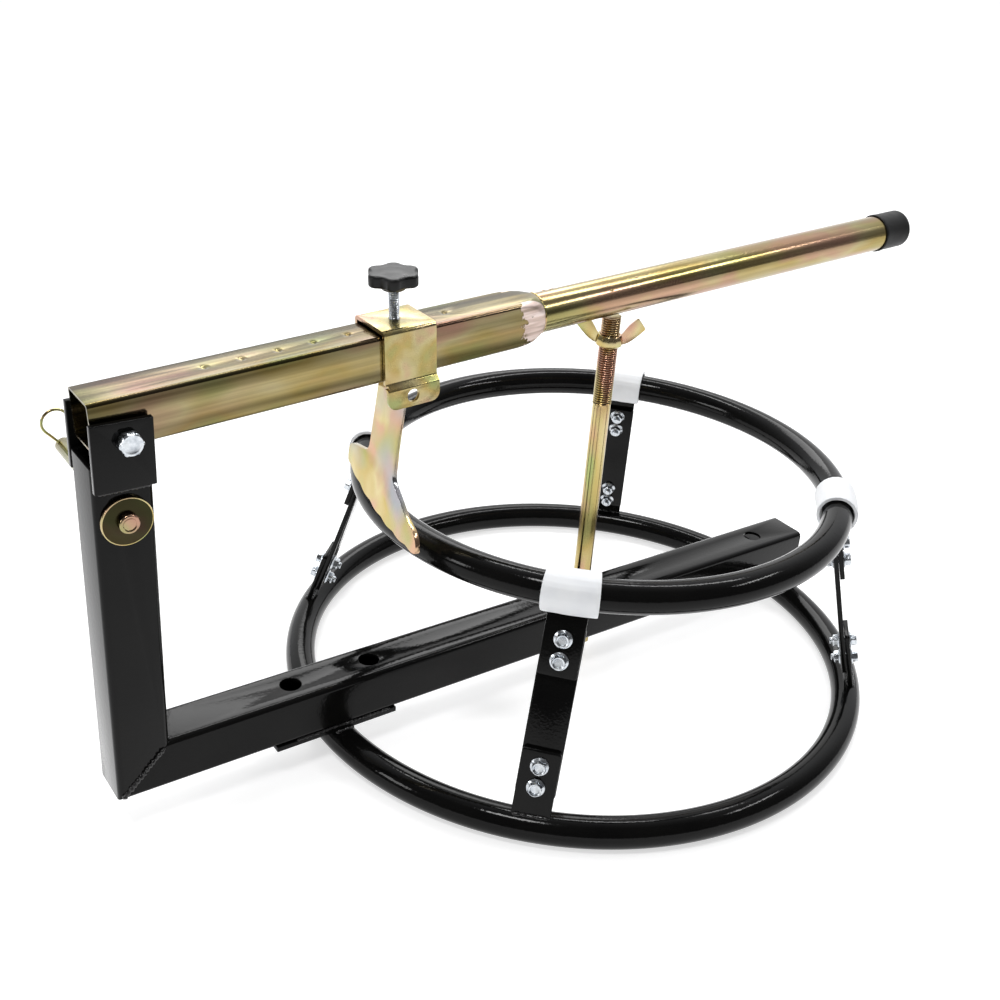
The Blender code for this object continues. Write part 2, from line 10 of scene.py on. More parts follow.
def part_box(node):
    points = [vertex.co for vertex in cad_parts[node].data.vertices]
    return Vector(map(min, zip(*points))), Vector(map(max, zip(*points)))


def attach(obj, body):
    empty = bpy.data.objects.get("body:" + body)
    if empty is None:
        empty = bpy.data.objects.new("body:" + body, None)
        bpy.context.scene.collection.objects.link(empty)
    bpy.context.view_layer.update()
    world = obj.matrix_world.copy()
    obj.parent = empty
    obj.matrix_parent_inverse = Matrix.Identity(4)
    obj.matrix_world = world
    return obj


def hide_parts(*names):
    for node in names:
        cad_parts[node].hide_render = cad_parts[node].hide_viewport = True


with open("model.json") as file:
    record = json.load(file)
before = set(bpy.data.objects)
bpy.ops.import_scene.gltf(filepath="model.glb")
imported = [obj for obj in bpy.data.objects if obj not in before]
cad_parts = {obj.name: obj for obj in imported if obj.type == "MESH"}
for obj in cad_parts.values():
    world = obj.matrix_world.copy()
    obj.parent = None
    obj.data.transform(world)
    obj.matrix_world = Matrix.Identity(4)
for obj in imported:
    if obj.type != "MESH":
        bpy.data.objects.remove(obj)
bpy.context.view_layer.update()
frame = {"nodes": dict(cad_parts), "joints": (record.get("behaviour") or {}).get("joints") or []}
JOINTS = {joint["name"]: joint for joint in frame["joints"]}
MM = 0.001

# ---------------------------------------------------------------- frames read from the CAD


def frame_of(origin, x_axis, y_axis, z_axis):
    turn = Matrix((x_axis, y_axis, z_axis)).transposed().to_4x4()
    return Matrix.Translation(origin) @ turn


def points_of(node):
    return np.array([v.co for v in frame["nodes"][node].data.vertices])


def extent(node, axes=Matrix.Identity(4)):
    """Lowest and highest corner of a CAD node in the given frame's own axes."""
    back = np.array(axes.inverted())
    local = points_of(node) @ back[:3, :3].T + back[:3, 3]
    return Vector(local.min(0)), Vector(local.max(0))


X, Y, Z = Vector((1, 0, 0)), Vector((0, 1, 0)), Vector((0, 0, 1))
ALONG = Vector(JOINTS["slider_slide"]["axis"])
LEVER_UP = ALONG.cross(Y)
PIVOT = Vector(JOINTS["lever_swing"]["pos_m"])
LEVER = frame_of(PIVOT, ALONG, Y, LEVER_UP)
PIN = frame_of(Vector(JOINTS["hitch_pin_turn"]["pos_m"]), X, Y, Z)


def mm(*rows):
    """Rows of numbers given in millimetres, as tuples in metres."""
    return [tuple(value * MM for value in row) for row in rows]


def ring_size(node):
    """Centre of a ring's tube circle, its radius and the tube's radius."""
    co = points_of(node)
    low, high = co.min(0), co.max(0)
    height = co[np.argmax(co[:, 0])][2]
    tube = height - low[2] if node == "lower_ring" else high[2] - height
    centre = Vector(((low[0] + high[0]) / 2, (low[1] + high[1]) / 2, height))
    return centre, (high[0] - low[0]) / 2 - tube, tube


LOWER_CENTRE, LOWER_RADIUS, TUBE = ring_size("lower_ring")
UPPER_CENTRE, UPPER_RADIUS, UPPER_TUBE = ring_size("upper_ring")
POST = frame_of(Vector((LOWER_CENTRE.x, LOWER_CENTRE.y, 0)), X, Y, Z)
STRAP_NAMES = ("front", "right", "back", "left")
HEAD_HIGH = 6.2 * MM


def bolt_line(node):
    """Seat of a strap bolt's head, and the direction from head to nut."""
    co = points_of(node)
    middle = co.mean(0)
    values, vectors = np.linalg.eigh(np.cov((co - middle).T))
    axis = Vector(vectors[:, int(np.argmax(values))])
    to_axis = LOWER_CENTRE - Vector(middle)
    to_axis.z = 0
    if axis.dot(to_axis) < 0:
        axis = -axis
    reach = (co - middle) @ np.array(axis)
    return Vector(middle) + axis * (float(reach.min()) + HEAD_HIGH), axis


def strap_frame(name):
    """X along the ring, Y inward across the sheet, Z up the strap, from the lowest bolt's seat."""
    low, inward = bolt_line("strap_bolt_%s_1" % name)
    high, _ = bolt_line("strap_bolt_%s_4" % name)
    up = (high - low).normalized()
    inward = (inward - up * inward.dot(up)).normalized()
    return frame_of(low, inward.cross(up), inward, up), (high - low).length


# ---------------------------------------------------------------- materials


def add(tree, kind, **inputs):
    node = tree.nodes.new(kind)
    for key, value in inputs.items():
        name = key.replace("_", " ")
        if name in node.inputs:
            node.inputs[name].default_value = value
        else:
            setattr(node, key, value)
    return node


def object_axes(tree):
    """The piece's own X, Y and Z as a material's values."""
    coords = tree.nodes.new("ShaderNodeTexCoord")
    split = tree.nodes.new("ShaderNodeSeparateXYZ")
    tree.links.new(coords.outputs["Object"], split.inputs[0])
    return split.outputs["X"], split.outputs["Y"], split.outputs["Z"]


def grey(level):
    return (level, level, level)


def ramp(tree, source, *stops):
    node = tree.nodes.new("ShaderNodeValToRGB")
    elements = node.color_ramp.elements
    while len(elements) < len(stops):
        elements.new(0.5)
    for element, (place, colour) in zip(elements, stops):
        element.position = place
        element.color = (*colour, 1)
    tree.links.new(source, node.inputs["Fac"])
    return node.outputs["Color"]


def span(tree, source, low, high, start=0.3, end=0.7):
    """The source, from start to end, as a value from low to high."""
    node = add(tree, "ShaderNodeMapRange", From_Min=start, From_Max=end, To_Min=low, To_Max=high)
    tree.links.new(source, node.inputs["Value"])
    return node.outputs["Result"]


def pattern(tree, scale, stretch=(1, 1, 1), detail=3.0, kind="ShaderNodeTexNoise", shift=0.0):
    """Noise in the piece's own coordinates, scale in cells for each metre."""
    coords = tree.nodes.new("ShaderNodeTexCoord")
    mapping = tree.nodes.new("ShaderNodeMapping")
    mapping.inputs["Scale"].default_value = stretch
    mapping.inputs["Location"].default_value = (shift, shift * 0.7, shift * 1.3)
    tree.links.new(coords.outputs["Object"], mapping.inputs["Vector"])
    node = add(tree, kind, Scale=scale)
    if "Detail" in node.inputs:
        node.inputs["Detail"].default_value = detail
    tree.links.new(mapping.outputs["Vector"], node.inputs["Vector"])
    return node.outputs["Fac" if kind == "ShaderNodeTexNoise" else "Distance"]


def mix(tree, factor, first, second, blend="MIX"):
    node = tree.nodes.new("ShaderNodeMix")
    node.data_type = "RGBA"
    node.blend_type = blend
    for socket, value in ((node.inputs["Factor"], factor), (node.inputs[6], first), (node.inputs[7], second)):
        if isinstance(value, bpy.types.NodeSocket):
            tree.links.new(value, socket)
        elif isinstance(value, tuple):
            socket.default_value = (*value, 1)
        else:
            socket.default_value = value
    return node.outputs[2]


def math_node(tree, operation, first, second=0):
    node = tree.nodes.new("ShaderNodeMath")
    node.operation = operation
    for socket, value in zip(node.inputs, (first, second)):
        if isinstance(value, bpy.types.NodeSocket):
            tree.links.new(value, socket)
        else:
            socket.default_value = value
    return node.outputs[0]


def bump(tree, height, distance, strength=1.0, under=None):
    node = add(tree, "ShaderNodeBump", Strength=strength, Distance=distance)
    tree.links.new(height, node.inputs["Height"])
    if under is not None:
        tree.links.new(under, node.inputs["Normal"])
    return node.outputs["Normal"]


def surface(name, roughness, metallic=0.0):
    material = bpy.data.materials.new(name)
    material.use_nodes = True
    shader = material.node_tree.nodes["Principled BSDF"]
    shader.inputs["Roughness"].default_value = roughness
    shader.inputs["Metallic"].default_value = metallic
    return material, material.node_tree, shader


def connect(tree, shader, **sockets):
    for key, value in sockets.items():
        tree.links.new(value, shader.inputs[key.replace("_", " ")])


def plus(tree, first, second):
    return math_node(tree, "ADD", first, second)


def times(tree, first, second):
    return math_node(tree, "MULTIPLY", first, second)


def black_coat(name):
    """Gloss powder coat: near black, faint orange peel, a few dust nibs and dull scuffs."""
    material, tree, shader = surface(name, 0.14)
    shader.inputs["IOR"].default_value = 1.24
    cloud = pattern(tree, 22, detail=4)
    peel = pattern(tree, 420, detail=1)
    nibs = pattern(tree, 210, kind="ShaderNodeTexVoronoi")
    base = ramp(tree, cloud, (0.3, grey(0.0026)), (0.75, (0.0046, 0.0045, 0.0042)))
    nib = span(tree, nibs, 1.0, 0.0, 0.02, 0.09)
    base = mix(tree, times(tree, nib, 0.125), base, grey(0.10))
    scuff = span(tree, pattern(tree, 55, (1, 4, 1), 6, shift=3.1), 0.0, 1.0, 0.62, 0.8)
    rough = plus(tree, span(tree, cloud, 0.07, 0.13), times(tree, scuff, 0.12))
    lumps = bump(tree, peel, 0.00018, 0.35)
    connect(tree, shader, Base_Color=base, Roughness=rough, Normal=bump(tree, nib, 0.0002, 0.5, lumps))
    return material


ZINC_GOLD, ZINC_GREEN, ZINC_PINK = (0.62, 0.47, 0.17), (0.44, 0.49, 0.19), (0.70, 0.41, 0.29)
ZINC_CREAM, ZINC_STEEL, ZINC_FLECK = (0.72, 0.61, 0.32), (0.42, 0.47, 0.55), (1.35, 1.25, 0.95)
EVEN = (0.9, 0.9, 0.9)
AROUND = (1.6, 1.6, 0.03)


def yellow_zinc(name, run=(0.035, 1.6, 1.6), drawn_and_reflection=0.0, warm=0.5, seed=0.0, mottle=0.5, dark=1.0, cells=26,
                rainbow=0.0, gloss=0.17, olive=0.7):
    """Yellow passivated zinc: olive gold that drifts to green and pink, with lines along the run and painted
    reflection bands.

    The first strength sets the drawn lines together with painted dark and bright reflection bands along the
    run;
    warm is for pink, olive for green, rainbow for steel blue and mottle for pale flecks; dark scales every
    colour, and cells is the drift's scale for each metre.
    """
    material, tree, shader = surface(name, 0.24, 1.0)
    soft = tuple(0.35 + 0.65 * min(1.0, step) for step in run)
    drift = pattern(tree, cells, soft, 2, shift=seed)
    second = pattern(tree, cells * 1.7, soft, 2, shift=seed + 5.3)
    lines = pattern(tree, 150, run, 5, shift=seed + 2.2)
    reflection_bands = pattern(tree, 46, run, 2, shift=seed + 7.7)

    def shade(colour):
        return tuple(level * dark for level in colour)

    green, pink = shade(ZINC_GREEN), shade(ZINC_PINK)
    tint = ramp(tree, drift, (0.32, green), (0.45, shade(ZINC_GOLD)), (0.56, shade(ZINC_CREAM)), (0.68, pink))
    tint = mix(tree, span(tree, second, 0.0, warm, 0.48, 0.62), tint, pink)
    moss = span(tree, pattern(tree, cells * 1.3, soft, 1, shift=seed + 9.1), 0.0, olive, 0.52, 0.66)
    tint = mix(tree, moss, tint, green)
    if rainbow:
        oily = span(tree, pattern(tree, cells * 0.9, soft, 1, shift=seed + 3.9), 0.0, rainbow, 0.5, 0.66)
        tint = mix(tree, oily, tint, shade(ZINC_STEEL))
    # painted reflection: bands along the run, from dark to brighter than white, stand in for the surroundings
    # mirrored in the metal
    reflection_band = ramp(tree, reflection_bands, (0.34, (0.20, 0.19, 0.15)), (0.50, (0.88, 0.88, 0.86)), (0.64, grey(1.35)))
    tint = mix(tree, 1.0, tint, mix(tree, drawn_and_reflection, grey(1.0), reflection_band), "MULTIPLY")
    fine = span(tree, lines, 1.0 - 0.4 * drawn_and_reflection, 1.0 + 0.15 * drawn_and_reflection)
    tint = mix(tree, 1.0, tint, fine, "MULTIPLY")
    flecks = pattern(tree, 420, (0.7, 1, 1), kind="ShaderNodeTexVoronoi", shift=seed)
    where = span(tree, pattern(tree, 40, shift=seed + 4), 0.0, mottle, 0.45, 0.6)
    fleck = times(tree, span(tree, flecks, 1.0, 0.0, 0.06, 0.28), where)
    tint = mix(tree, fleck, tint, shade(ZINC_FLECK))
    rough = plus(tree, span(tree, lines, gloss - 0.05, gloss + 0.09), times(tree, fleck, 0.2))
    grain = pattern(tree, 700, detail=3, shift=seed)
    normal = bump(tree, lines, 0.0003, 0.05 + 0.25 * drawn_and_reflection)
    connect(tree, shader, Base_Color=tint, Roughness=rough, Normal=bump(tree, grain, 0.00008, 0.15, normal))
    return material


def bright_zinc(name, seed=0.0):
    material, tree, shader = surface(name, 0.22, 1.0)
    cloud = pattern(tree, 160, detail=4, shift=seed)
    tint = ramp(tree, cloud, (0.3, (0.36, 0.39, 0.43)), (0.55, (0.64, 0.67, 0.70)), (0.8, (0.50, 0.52, 0.53)))
    grain = pattern(tree, 1500, detail=2, shift=seed)
    connect(tree, shader, Base_Color=tint, Roughness=span(tree, cloud, 0.15, 0.34),
            Normal=bump(tree, grain, 0.0001, 0.35))
    return material


def white_plastic(name):
    material, tree, shader = surface(name, 0.4)
    cloud = pattern(tree, 60, detail=3)
    grain = pattern(tree, 1200, detail=2)
    tint = ramp(tree, cloud, (0.3, (0.74, 0.755, 0.775)), (0.7, (0.80, 0.81, 0.82)))
    shader.inputs["Subsurface Weight"].default_value = 0.15
    shader.inputs["Subsurface Radius"].default_value = (0.003, 0.003, 0.003)
    shader.inputs["Subsurface Scale"].default_value = 0.5
    connect(tree, shader, Base_Color=tint, Roughness=span(tree, cloud, 0.34, 0.48),
            Normal=bump(tree, grain, 0.00008, 0.3))
    return material


def black_plastic(name, roughness, level, grain_depth=0.3):
    material, tree, shader = surface(name, roughness)
    shader.inputs["IOR"].default_value = 1.3
    cloud = pattern(tree, 90, detail=3)
    grain = pattern(tree, 1100, detail=2)
    tint = ramp(tree, cloud, (0.3, grey(level * 0.7)), (0.7, grey(level * 1.3)))
    connect(tree, shader, Base_Color=tint, Roughness=span(tree, cloud, roughness - 0.05, roughness + 0.08),
            Normal=bump(tree, grain, 0.0001, grain_depth))
    return material


def weld_metal(name):
    """Painted weld bead with bright spatter and a few rusty flecks."""
    material, tree, shader = surface(name, 0.28)
    cloud = pattern(tree, 260, detail=5)
    spots = pattern(tree, 300, kind="ShaderNodeTexVoronoi", shift=2.0)
    tint = ramp(tree, cloud, (0.35, grey(0.006)), (0.72, (0.014, 0.013, 0.013)), (0.8, (0.10, 0.05, 0.03)))
    spark = span(tree, spots, 0.8, 0.0, 0.04, 0.14)
    tint = mix(tree, spark, tint, (0.40, 0.40, 0.38))
    connect(tree, shader, Base_Color=tint, Roughness=span(tree, cloud, 0.16, 0.42),
            Normal=bump(tree, cloud, 0.0006, 0.8))
    return material


# ---------------------------------------------------------------- mesh helpers


def loft(rings, loop=False):
    """Skin over a row of point rings; a loop joins the last to the first, else both ends are capped."""
    shape = bmesh.new()
    rows = [[shape.verts.new(point) for point in ring] for ring in rings]
    count = len(rows[0])
    pairs = list(zip(rows, rows[1:]))
    if loop:
        pairs.append((rows[-1], rows[0]))
    for low, high in pairs:
        for k in range(count):
            following = (k + 1) % count
            shape.faces.new((low[k], low[following], high[following], high[k]))
    if not loop:
        shape.faces.new(list(reversed(rows[0])))
        shape.faces.new(rows[-1])
    return shape


def circle(radius, count=48):
    return [(radius * math.cos(math.tau * k / count), radius * math.sin(math.tau * k / count))
            for k in range(count)]


def quarter(a, b, radius, start, steps=6):
    """Quarter circle of (a, b) points around a corner's middle, from an angle in degrees."""
    angles = [math.radians(start + 90 * k / steps) for k in range(steps + 1)]
    return [(a + radius * math.cos(angle), b + radius * math.sin(angle)) for angle in angles]


def hexagon(across_flats, count=48):
    points = []
    for k in range(count):
        angle = math.tau * k / count
        radius = across_flats / 2 / math.cos((angle % math.radians(60)) - math.radians(30))
        points.append((radius * math.cos(angle), radius * math.sin(angle)))
    return points


def chamfered_hexagon(across_flats, limit, count=48):
    """Hexagon whose corners are cut back to a circle, as on a turned bolt head."""
    points = []
    for x, y in hexagon(across_flats, count):
        cut = min(1.0, limit / math.hypot(x, y))
        points.append((x * cut, y * cut))
    return points


def turned(profile, count=48, loop=False):
    rings = [[(x, y, height) for x, y in circle(radius, count)] for radius, height in profile]
    return loft(rings, loop)


def hex_stack(across, *rows):
    """Sections along Z, in mm: (radius, height), or (corner radius, height, "hex") for a hexagon."""
    sections = []
    for radius, height, *kind in rows:
        outline = chamfered_hexagon(across, radius * MM) if kind else circle(radius * MM)
        sections.append([(x, y, height * MM) for x, y in outline])
    return loft(sections)


def prism(outline, low, high, place):
    """Outline of (a, b) pairs between two depths; place turns (a, b, depth) into a point."""
    return loft([[place(a, b, depth) for a, b in outline] for depth in (low, high)])


def box(low, high):
    corners = [(low[0], low[1]), (high[0], low[1]), (high[0], high[1]), (low[0], high[1])]
    return loft([[(x, y, z) for x, y in corners] for z in (low[2], high[2])])


def rounded_square(half, corner, steps=7):
    points = []
    for quarter in range(4):
        middle = math.radians(45 + 90 * quarter)
        reach = (half - corner) * math.sqrt(2)
        for k in range(steps + 1):
            angle = math.radians(90 * quarter + 90 * k / steps)
            points.append((reach * math.cos(middle) + corner * math.cos(angle),
                           reach * math.sin(middle) + corner * math.sin(angle)))
    return points


def rod_between(start, end, radius, count=48):
    start = Vector(start)
    along = Vector(end) - start
    shape = turned([(radius, 0), (radius, along.length)], count)
    turn = along.to_track_quat("Z", "Y").to_matrix().to_4x4()
    bmesh.ops.transform(shape, matrix=Matrix.Translation(start) @ turn, verts=shape.verts)
    return shape


def place_object(name, data, axes=Matrix.Identity(4)):
    item = bpy.data.objects.new(name, data)
    bpy.context.scene.collection.objects.link(item)
    item.matrix_world = axes
    return item


def mesh_object(name, shape, axes=Matrix.Identity(4)):
    bmesh.ops.recalc_face_normals(shape, faces=shape.faces)
    mesh = bpy.data.meshes.new(name)
    shape.to_mesh(mesh)
    shape.free()
    return place_object(name, mesh, axes)


def settle(item):
    """Applies the modifiers to the mesh."""
    bpy.context.view_layer.update()
    graph = bpy.context.evaluated_depsgraph_get()
    mesh = bpy.data.meshes.new_from_object(item.evaluated_get(graph))
    item.modifiers.clear()
    item.data = mesh
    return item


def carve(item, shapes, axes, operation="DIFFERENCE"):
    """Cuts the shapes out of the piece, or joins them to it."""
    for shape in shapes:
        cutter = mesh_object("cutter", shape, axes)
        step = item.modifiers.new("cut", "BOOLEAN")
        step.operation = operation
        step.solver = "EXACT"
        step.object = cutter
        settle(item)
        bpy.data.objects.remove(cutter, do_unlink=True)
    return item


def level_out(item):
    """Moves the piece's turn into its mesh, so that its bounding box is its true one."""
    item.data.transform(item.matrix_world)
    item.matrix_world = Matrix.Identity(4)


def across_sheet(a, b, depth):
    return (a, depth, b)


def finish_piece(item, body, material, stands_for=(), bevel=0.0, sharp=32):
    if bevel:
        edge = item.modifiers.new("edges", "BEVEL")
        edge.width = bevel
        edge.segments = 3
        edge.limit_method = "ANGLE"
        edge.angle_limit = math.radians(30)
        settle(item)
    item.data.materials.clear()
    item.data.materials.append(material)
    item.data.shade_smooth()
    item.data.set_sharp_from_angle(angle=math.radians(sharp))
    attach(item, body)
    if stands_for:
        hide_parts(*stands_for)
    return item


def paint_piece(item, *stands_for, bevel=0.5 * MM):
    finish_piece(item, "stand", COAT, stands_for, bevel)


def bead(name, route, radius, seed=0.0, body="stand", flat=0.75, ripple=0.25, pitch=0.0035):
    """Weld bead: a lumpy flattened tube along a route of points, with the ripples a weld pool leaves."""
    route = [Vector(point) for point in route]
    length = sum((b - a).length for a, b in zip(route, route[1:]))
    count = max(8, int(length / 0.0007))
    rings = []
    sides = 10
    for k in range(count + 1):
        place = k / count * (len(route) - 1)
        low = min(int(place), len(route) - 2)
        point = route[low].lerp(route[low + 1], place - low)
        ahead = (route[low + 1] - route[low]).normalized()
        side = ahead.orthogonal().normalized()
        other = ahead.cross(side)
        travel = k / count * length
        end = min(1.0, (min(travel, length - travel) + 0.0004) / (radius * 1.2)) ** 0.5
        wave = abs(math.sin(math.pi * travel / pitch))
        swell = 0.9 + ripple * wave + 0.45 * noise.noise((travel * 260, seed, 0))
        ring = []
        for j in range(sides):
            angle = math.tau * j / sides
            lump = 1 + 0.18 * noise.noise((travel * 700, math.cos(angle) * 2 + seed, math.sin(angle) * 2))
            reach = radius * end * swell * lump * 0.8
            ring.append(point + side * reach * math.cos(angle) + other * reach * flat * math.sin(angle))
        rings.append(ring)
    item = mesh_object(name, loft(rings))
    return finish_piece(item, body, WELD, sharp=80)


def threaded(below, start, end, pitch, depth, radius, count, rows):
    """Round body with a real helical thread between two heights; below is the plain profile under it."""
    rings = [[(x, y, height) for x, y in circle(r, count)] for r, height in below]
    steps = int(round((end - start) / pitch * rows))
    for k in range(steps + 1):
        height = start + (end - start) * k / steps
        fade = min(1.0, (height - start) / pitch, (end - height) / pitch + 0.3)
        ring = []
        for j in range(count):
            phase = (height / pitch - j / count) % 1.0
            groove = max(0.0, 1 - abs(2 * phase - 1) * 1.15)
            reach = radius - depth * groove * fade
            angle = math.tau * j / count
            ring.append((reach * math.cos(angle), reach * math.sin(angle), height))
        rings.append(ring)
    return loft(rings)


COAT = black_coat("gloss_black_coat")
WELD = weld_metal("painted_weld")
BOLT_ZINC = bright_zinc("bright_zinc_hardware")
WHITE = white_plastic("white_clip_plastic")

# ---------------------------------------------------------------- rings, tabs, straps, clips


def ring_piece(node, centre, radius, tube):
    count, sides = 256, 40
    rings = []
    for k in range(count):
        azimuth = math.tau * k / count
        rings.append([((radius + out) * math.cos(azimuth), (radius + out) * math.sin(azimuth), up)
                      for out, up in circle(tube, sides)])
    item = mesh_object(node + "_tube", loft(rings, True), Matrix.Translation(centre))
    finish_piece(item, "stand", COAT, (node,), sharp=60)


TAB_HALF = 15 * MM
TAB_HIGH = 29.5 * MM
PLATE = 4 * MM
GAP = 0.3 * MM
BOLT_NEAR = 35.5 * MM
TAB_ROOT = 6 * MM
PLATE_CORNER = 2.5 * MM


def plate_outline(half, low, high, corner):
    """Rectangle with rounded corners at its high end."""
    arcs = quarter(half - corner, high - corner, corner, 0) + quarter(-half + corner, high - corner, corner, 90)
    return [(-half, low), (half, low)] + arcs


def surface_height(axes, side, low_end, centre, radius, tube, across):
    """Height up the strap at which the tab's face leaves the ring tube."""
    near, far = 0.0, BOLT_NEAR
    for _ in range(30):
        height = (near + far) / 2
        step = height if low_end else -height
        point = axes @ Vector((across, side, step))
        flat = Vector((point.x - centre.x, point.y - centre.y))
        gap = math.hypot(flat.length - radius, point.z - centre.z) - tube
        if gap < 0:
            near = height
        else:
            far = height
    return near


def build_strap(name, index):
    """One strap, its tab on each ring and the tabs' welds."""
    axes, reach = strap_frame(name)
    low_tab = plate_outline(TAB_HALF, -(BOLT_NEAR - TAB_ROOT), TAB_HIGH, PLATE_CORNER)
    high_tab = [(-a, -b) for a, b in low_tab]
    for end, outline, lift in (("lower", low_tab, 0), ("upper", high_tab, reach)):
        tab = prism(outline, GAP, GAP + PLATE, lambda a, b, d: (a, d, b + lift))
        item = mesh_object("%s_tab_%s" % (end, name), tab, axes)
        paint_piece(item)
    low, high = extent("strap_" + name, axes)
    outline = []
    for a, b, start in ((high.x - PLATE_CORNER, low.z + PLATE_CORNER, 270),
                        (high.x - PLATE_CORNER, high.z - PLATE_CORNER, 0),
                        (low.x + PLATE_CORNER, high.z - PLATE_CORNER, 90),
                        (low.x + PLATE_CORNER, low.z + PLATE_CORNER, 180)):
        outline += quarter(a, b, PLATE_CORNER, start)
    item = mesh_object("flat_strap_" + name, prism(outline, low.y, high.y, across_sheet), axes)
    paint_piece(item, "strap_" + name, bevel=0.45 * MM)
    rings = (("lower", LOWER_CENTRE, LOWER_RADIUS, TUBE, -BOLT_NEAR, True),
             ("upper", UPPER_CENTRE, UPPER_RADIUS, UPPER_TUBE, reach + BOLT_NEAR, False))
    for end, centre, radius, tube, lift, low_end in rings:
        shifted = axes @ Matrix.Translation((0, 0, lift))
        for side_name, side, proud in (("outer", GAP, -0.3 * MM), ("inner", GAP + PLATE, 0.3 * MM)):
            route = []
            for k in range(9):
                across = TAB_HALF * 0.96 * (k / 4 - 1)
                height = surface_height(shifted, side, low_end, centre, radius, tube, across)
                route.append(shifted @ Vector((across, side + proud, height if low_end else -height)))
            weld = "weld_%s_%s_%s" % (end, side_name, name)
            bead(weld, route, 1.9 * MM, seed=index * 7.7 + lift * 40)


def flange_bolt_mesh():
    """M6 hex flange bolt and flange nut, head first along Z; the clamped sheets lie between them."""
    nut = (2 * PLATE + 3 * GAP) / MM
    corner = 5.55
    return hex_stack(10 * MM, (3.0, -4.6), (3.6, -5.7), (4.5, -6.15), (4.9, -6.1, "hex"),
                     (corner, -5.3, "hex"), (corner, -1.9, "hex"), (6.1, -1.5), (7.0, -1.0), (7.2, -0.5),
                     (7.1, 0), (3.0, 0), (3.0, nut), (7.1, nut), (7.2, nut + 0.5), (6.1, nut + 1.3),
                     (corner, nut + 1.8, "hex"), (corner, nut + 5.0, "hex"), (4.8, nut + 5.8, "hex"),
                     (3.3, nut + 5.8), (2.9, nut + 5.4), (2.9, nut + 7.9), (2.4, nut + 8.5))


def build_bolts():
    """Sixteen flange bolts that share one mesh, each turned a little differently."""
    shared = None
    for index, name in enumerate(STRAP_NAMES):
        for number in range(1, 5):
            node = "strap_bolt_%s_%d" % (name, number)
            seat, inward = bolt_line(node)
            spin = Matrix.Rotation(0.7 * number + 1.3 * index, 4, "Z")
            turn = inward.to_track_quat("Z", "Y").to_matrix().to_4x4()
            axes = Matrix.Translation(seat) @ turn @ spin
            if shared is None:
                item = mesh_object("flange_" + node, flange_bolt_mesh(), axes)
                finish_piece(item, "stand", BOLT_ZINC, (node,))
                shared = item.data
                continue
            item = place_object("flange_" + node, shared, axes)
            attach(item, "stand")
            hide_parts(node)


CLIP_OUTER, CLIP_INNER, CLIP_HALF = 17.2 * MM, 14.2 * MM, 19.9 * MM
CLIP_START, CLIP_END = math.radians(-50), math.radians(230)
CLIP_RIB, CLIP_LIP = 0.16 * MM, 0.35 * MM


def build_rim_clip(name):
    """White C-sleeve with fine ribs along the ring and a slightly uneven slot below."""
    node = "rim_clip_" + name
    low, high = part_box(node)
    middle = (low + high) / 2
    azimuth = math.atan2(middle.y - UPPER_CENTRE.y, middle.x - UPPER_CENTRE.x)
    rings = []
    for k in range(33):
        travel = k / 16 - 1
        swing = travel * CLIP_HALF / UPPER_RADIUS
        wave = 0.045 * math.sin(travel * 4.1 + middle.x * 30) + 0.02 * math.sin(travel * 11)
        lip = CLIP_LIP * max(0.0, abs(travel) - 0.93) / 0.07
        angles = [CLIP_START + wave + (CLIP_END - CLIP_START - 2 * wave) * j / 72 for j in range(73)]
        ribs = [CLIP_RIB * (0.5 + 0.5 * math.cos(angle * 26)) for angle in angles]
        profile = [(CLIP_OUTER - rib - lip, angle) for rib, angle in zip(ribs, angles)]
        profile += [(CLIP_INNER + lip * 0.5, angle) for angle in reversed(angles)]
        section = [(UPPER_RADIUS + r * math.cos(a), r * math.sin(a)) for r, a in profile]
        rings.append([(out * math.cos(swing), out * math.sin(swing), up) for out, up in section])
    axes = Matrix.Translation(UPPER_CENTRE) @ Matrix.Rotation(azimuth, 4, "Z")
    item = mesh_object("ribbed_" + node, loft(rings), axes)
    finish_piece(item, "stand", WHITE, (node,), sharp=50)


# ---------------------------------------------------------------- beam, upright, cheeks


def square_tube(half, wall, corner, start, end):
    """Hollow square tube along X; start and end give the cut's X at a point (y, z) of the section."""
    outer = rounded_square(half, corner)
    inner = rounded_square(half - wall, corner - wall * 0.6)

    def cut(points, edge):
        return [(edge(y, z), y, z) for y, z in points]

    return loft([cut(outer, start), cut(outer, end), cut(inner, end), cut(inner, start)], True)


WALL, WALL_CORNER = 3 * MM, 4.6 * MM
MITRE_GAP = 0.2 * MM
BEAM_HOLES = (-287 * MM, -217.5 * MM, 218.6 * MM)
BEAM_HOLE, POST_HOLE, PIN_HOLE, PIVOT_HOLE = 8.5 * MM, 8.25 * MM, 6.3 * MM, 5.25 * MM


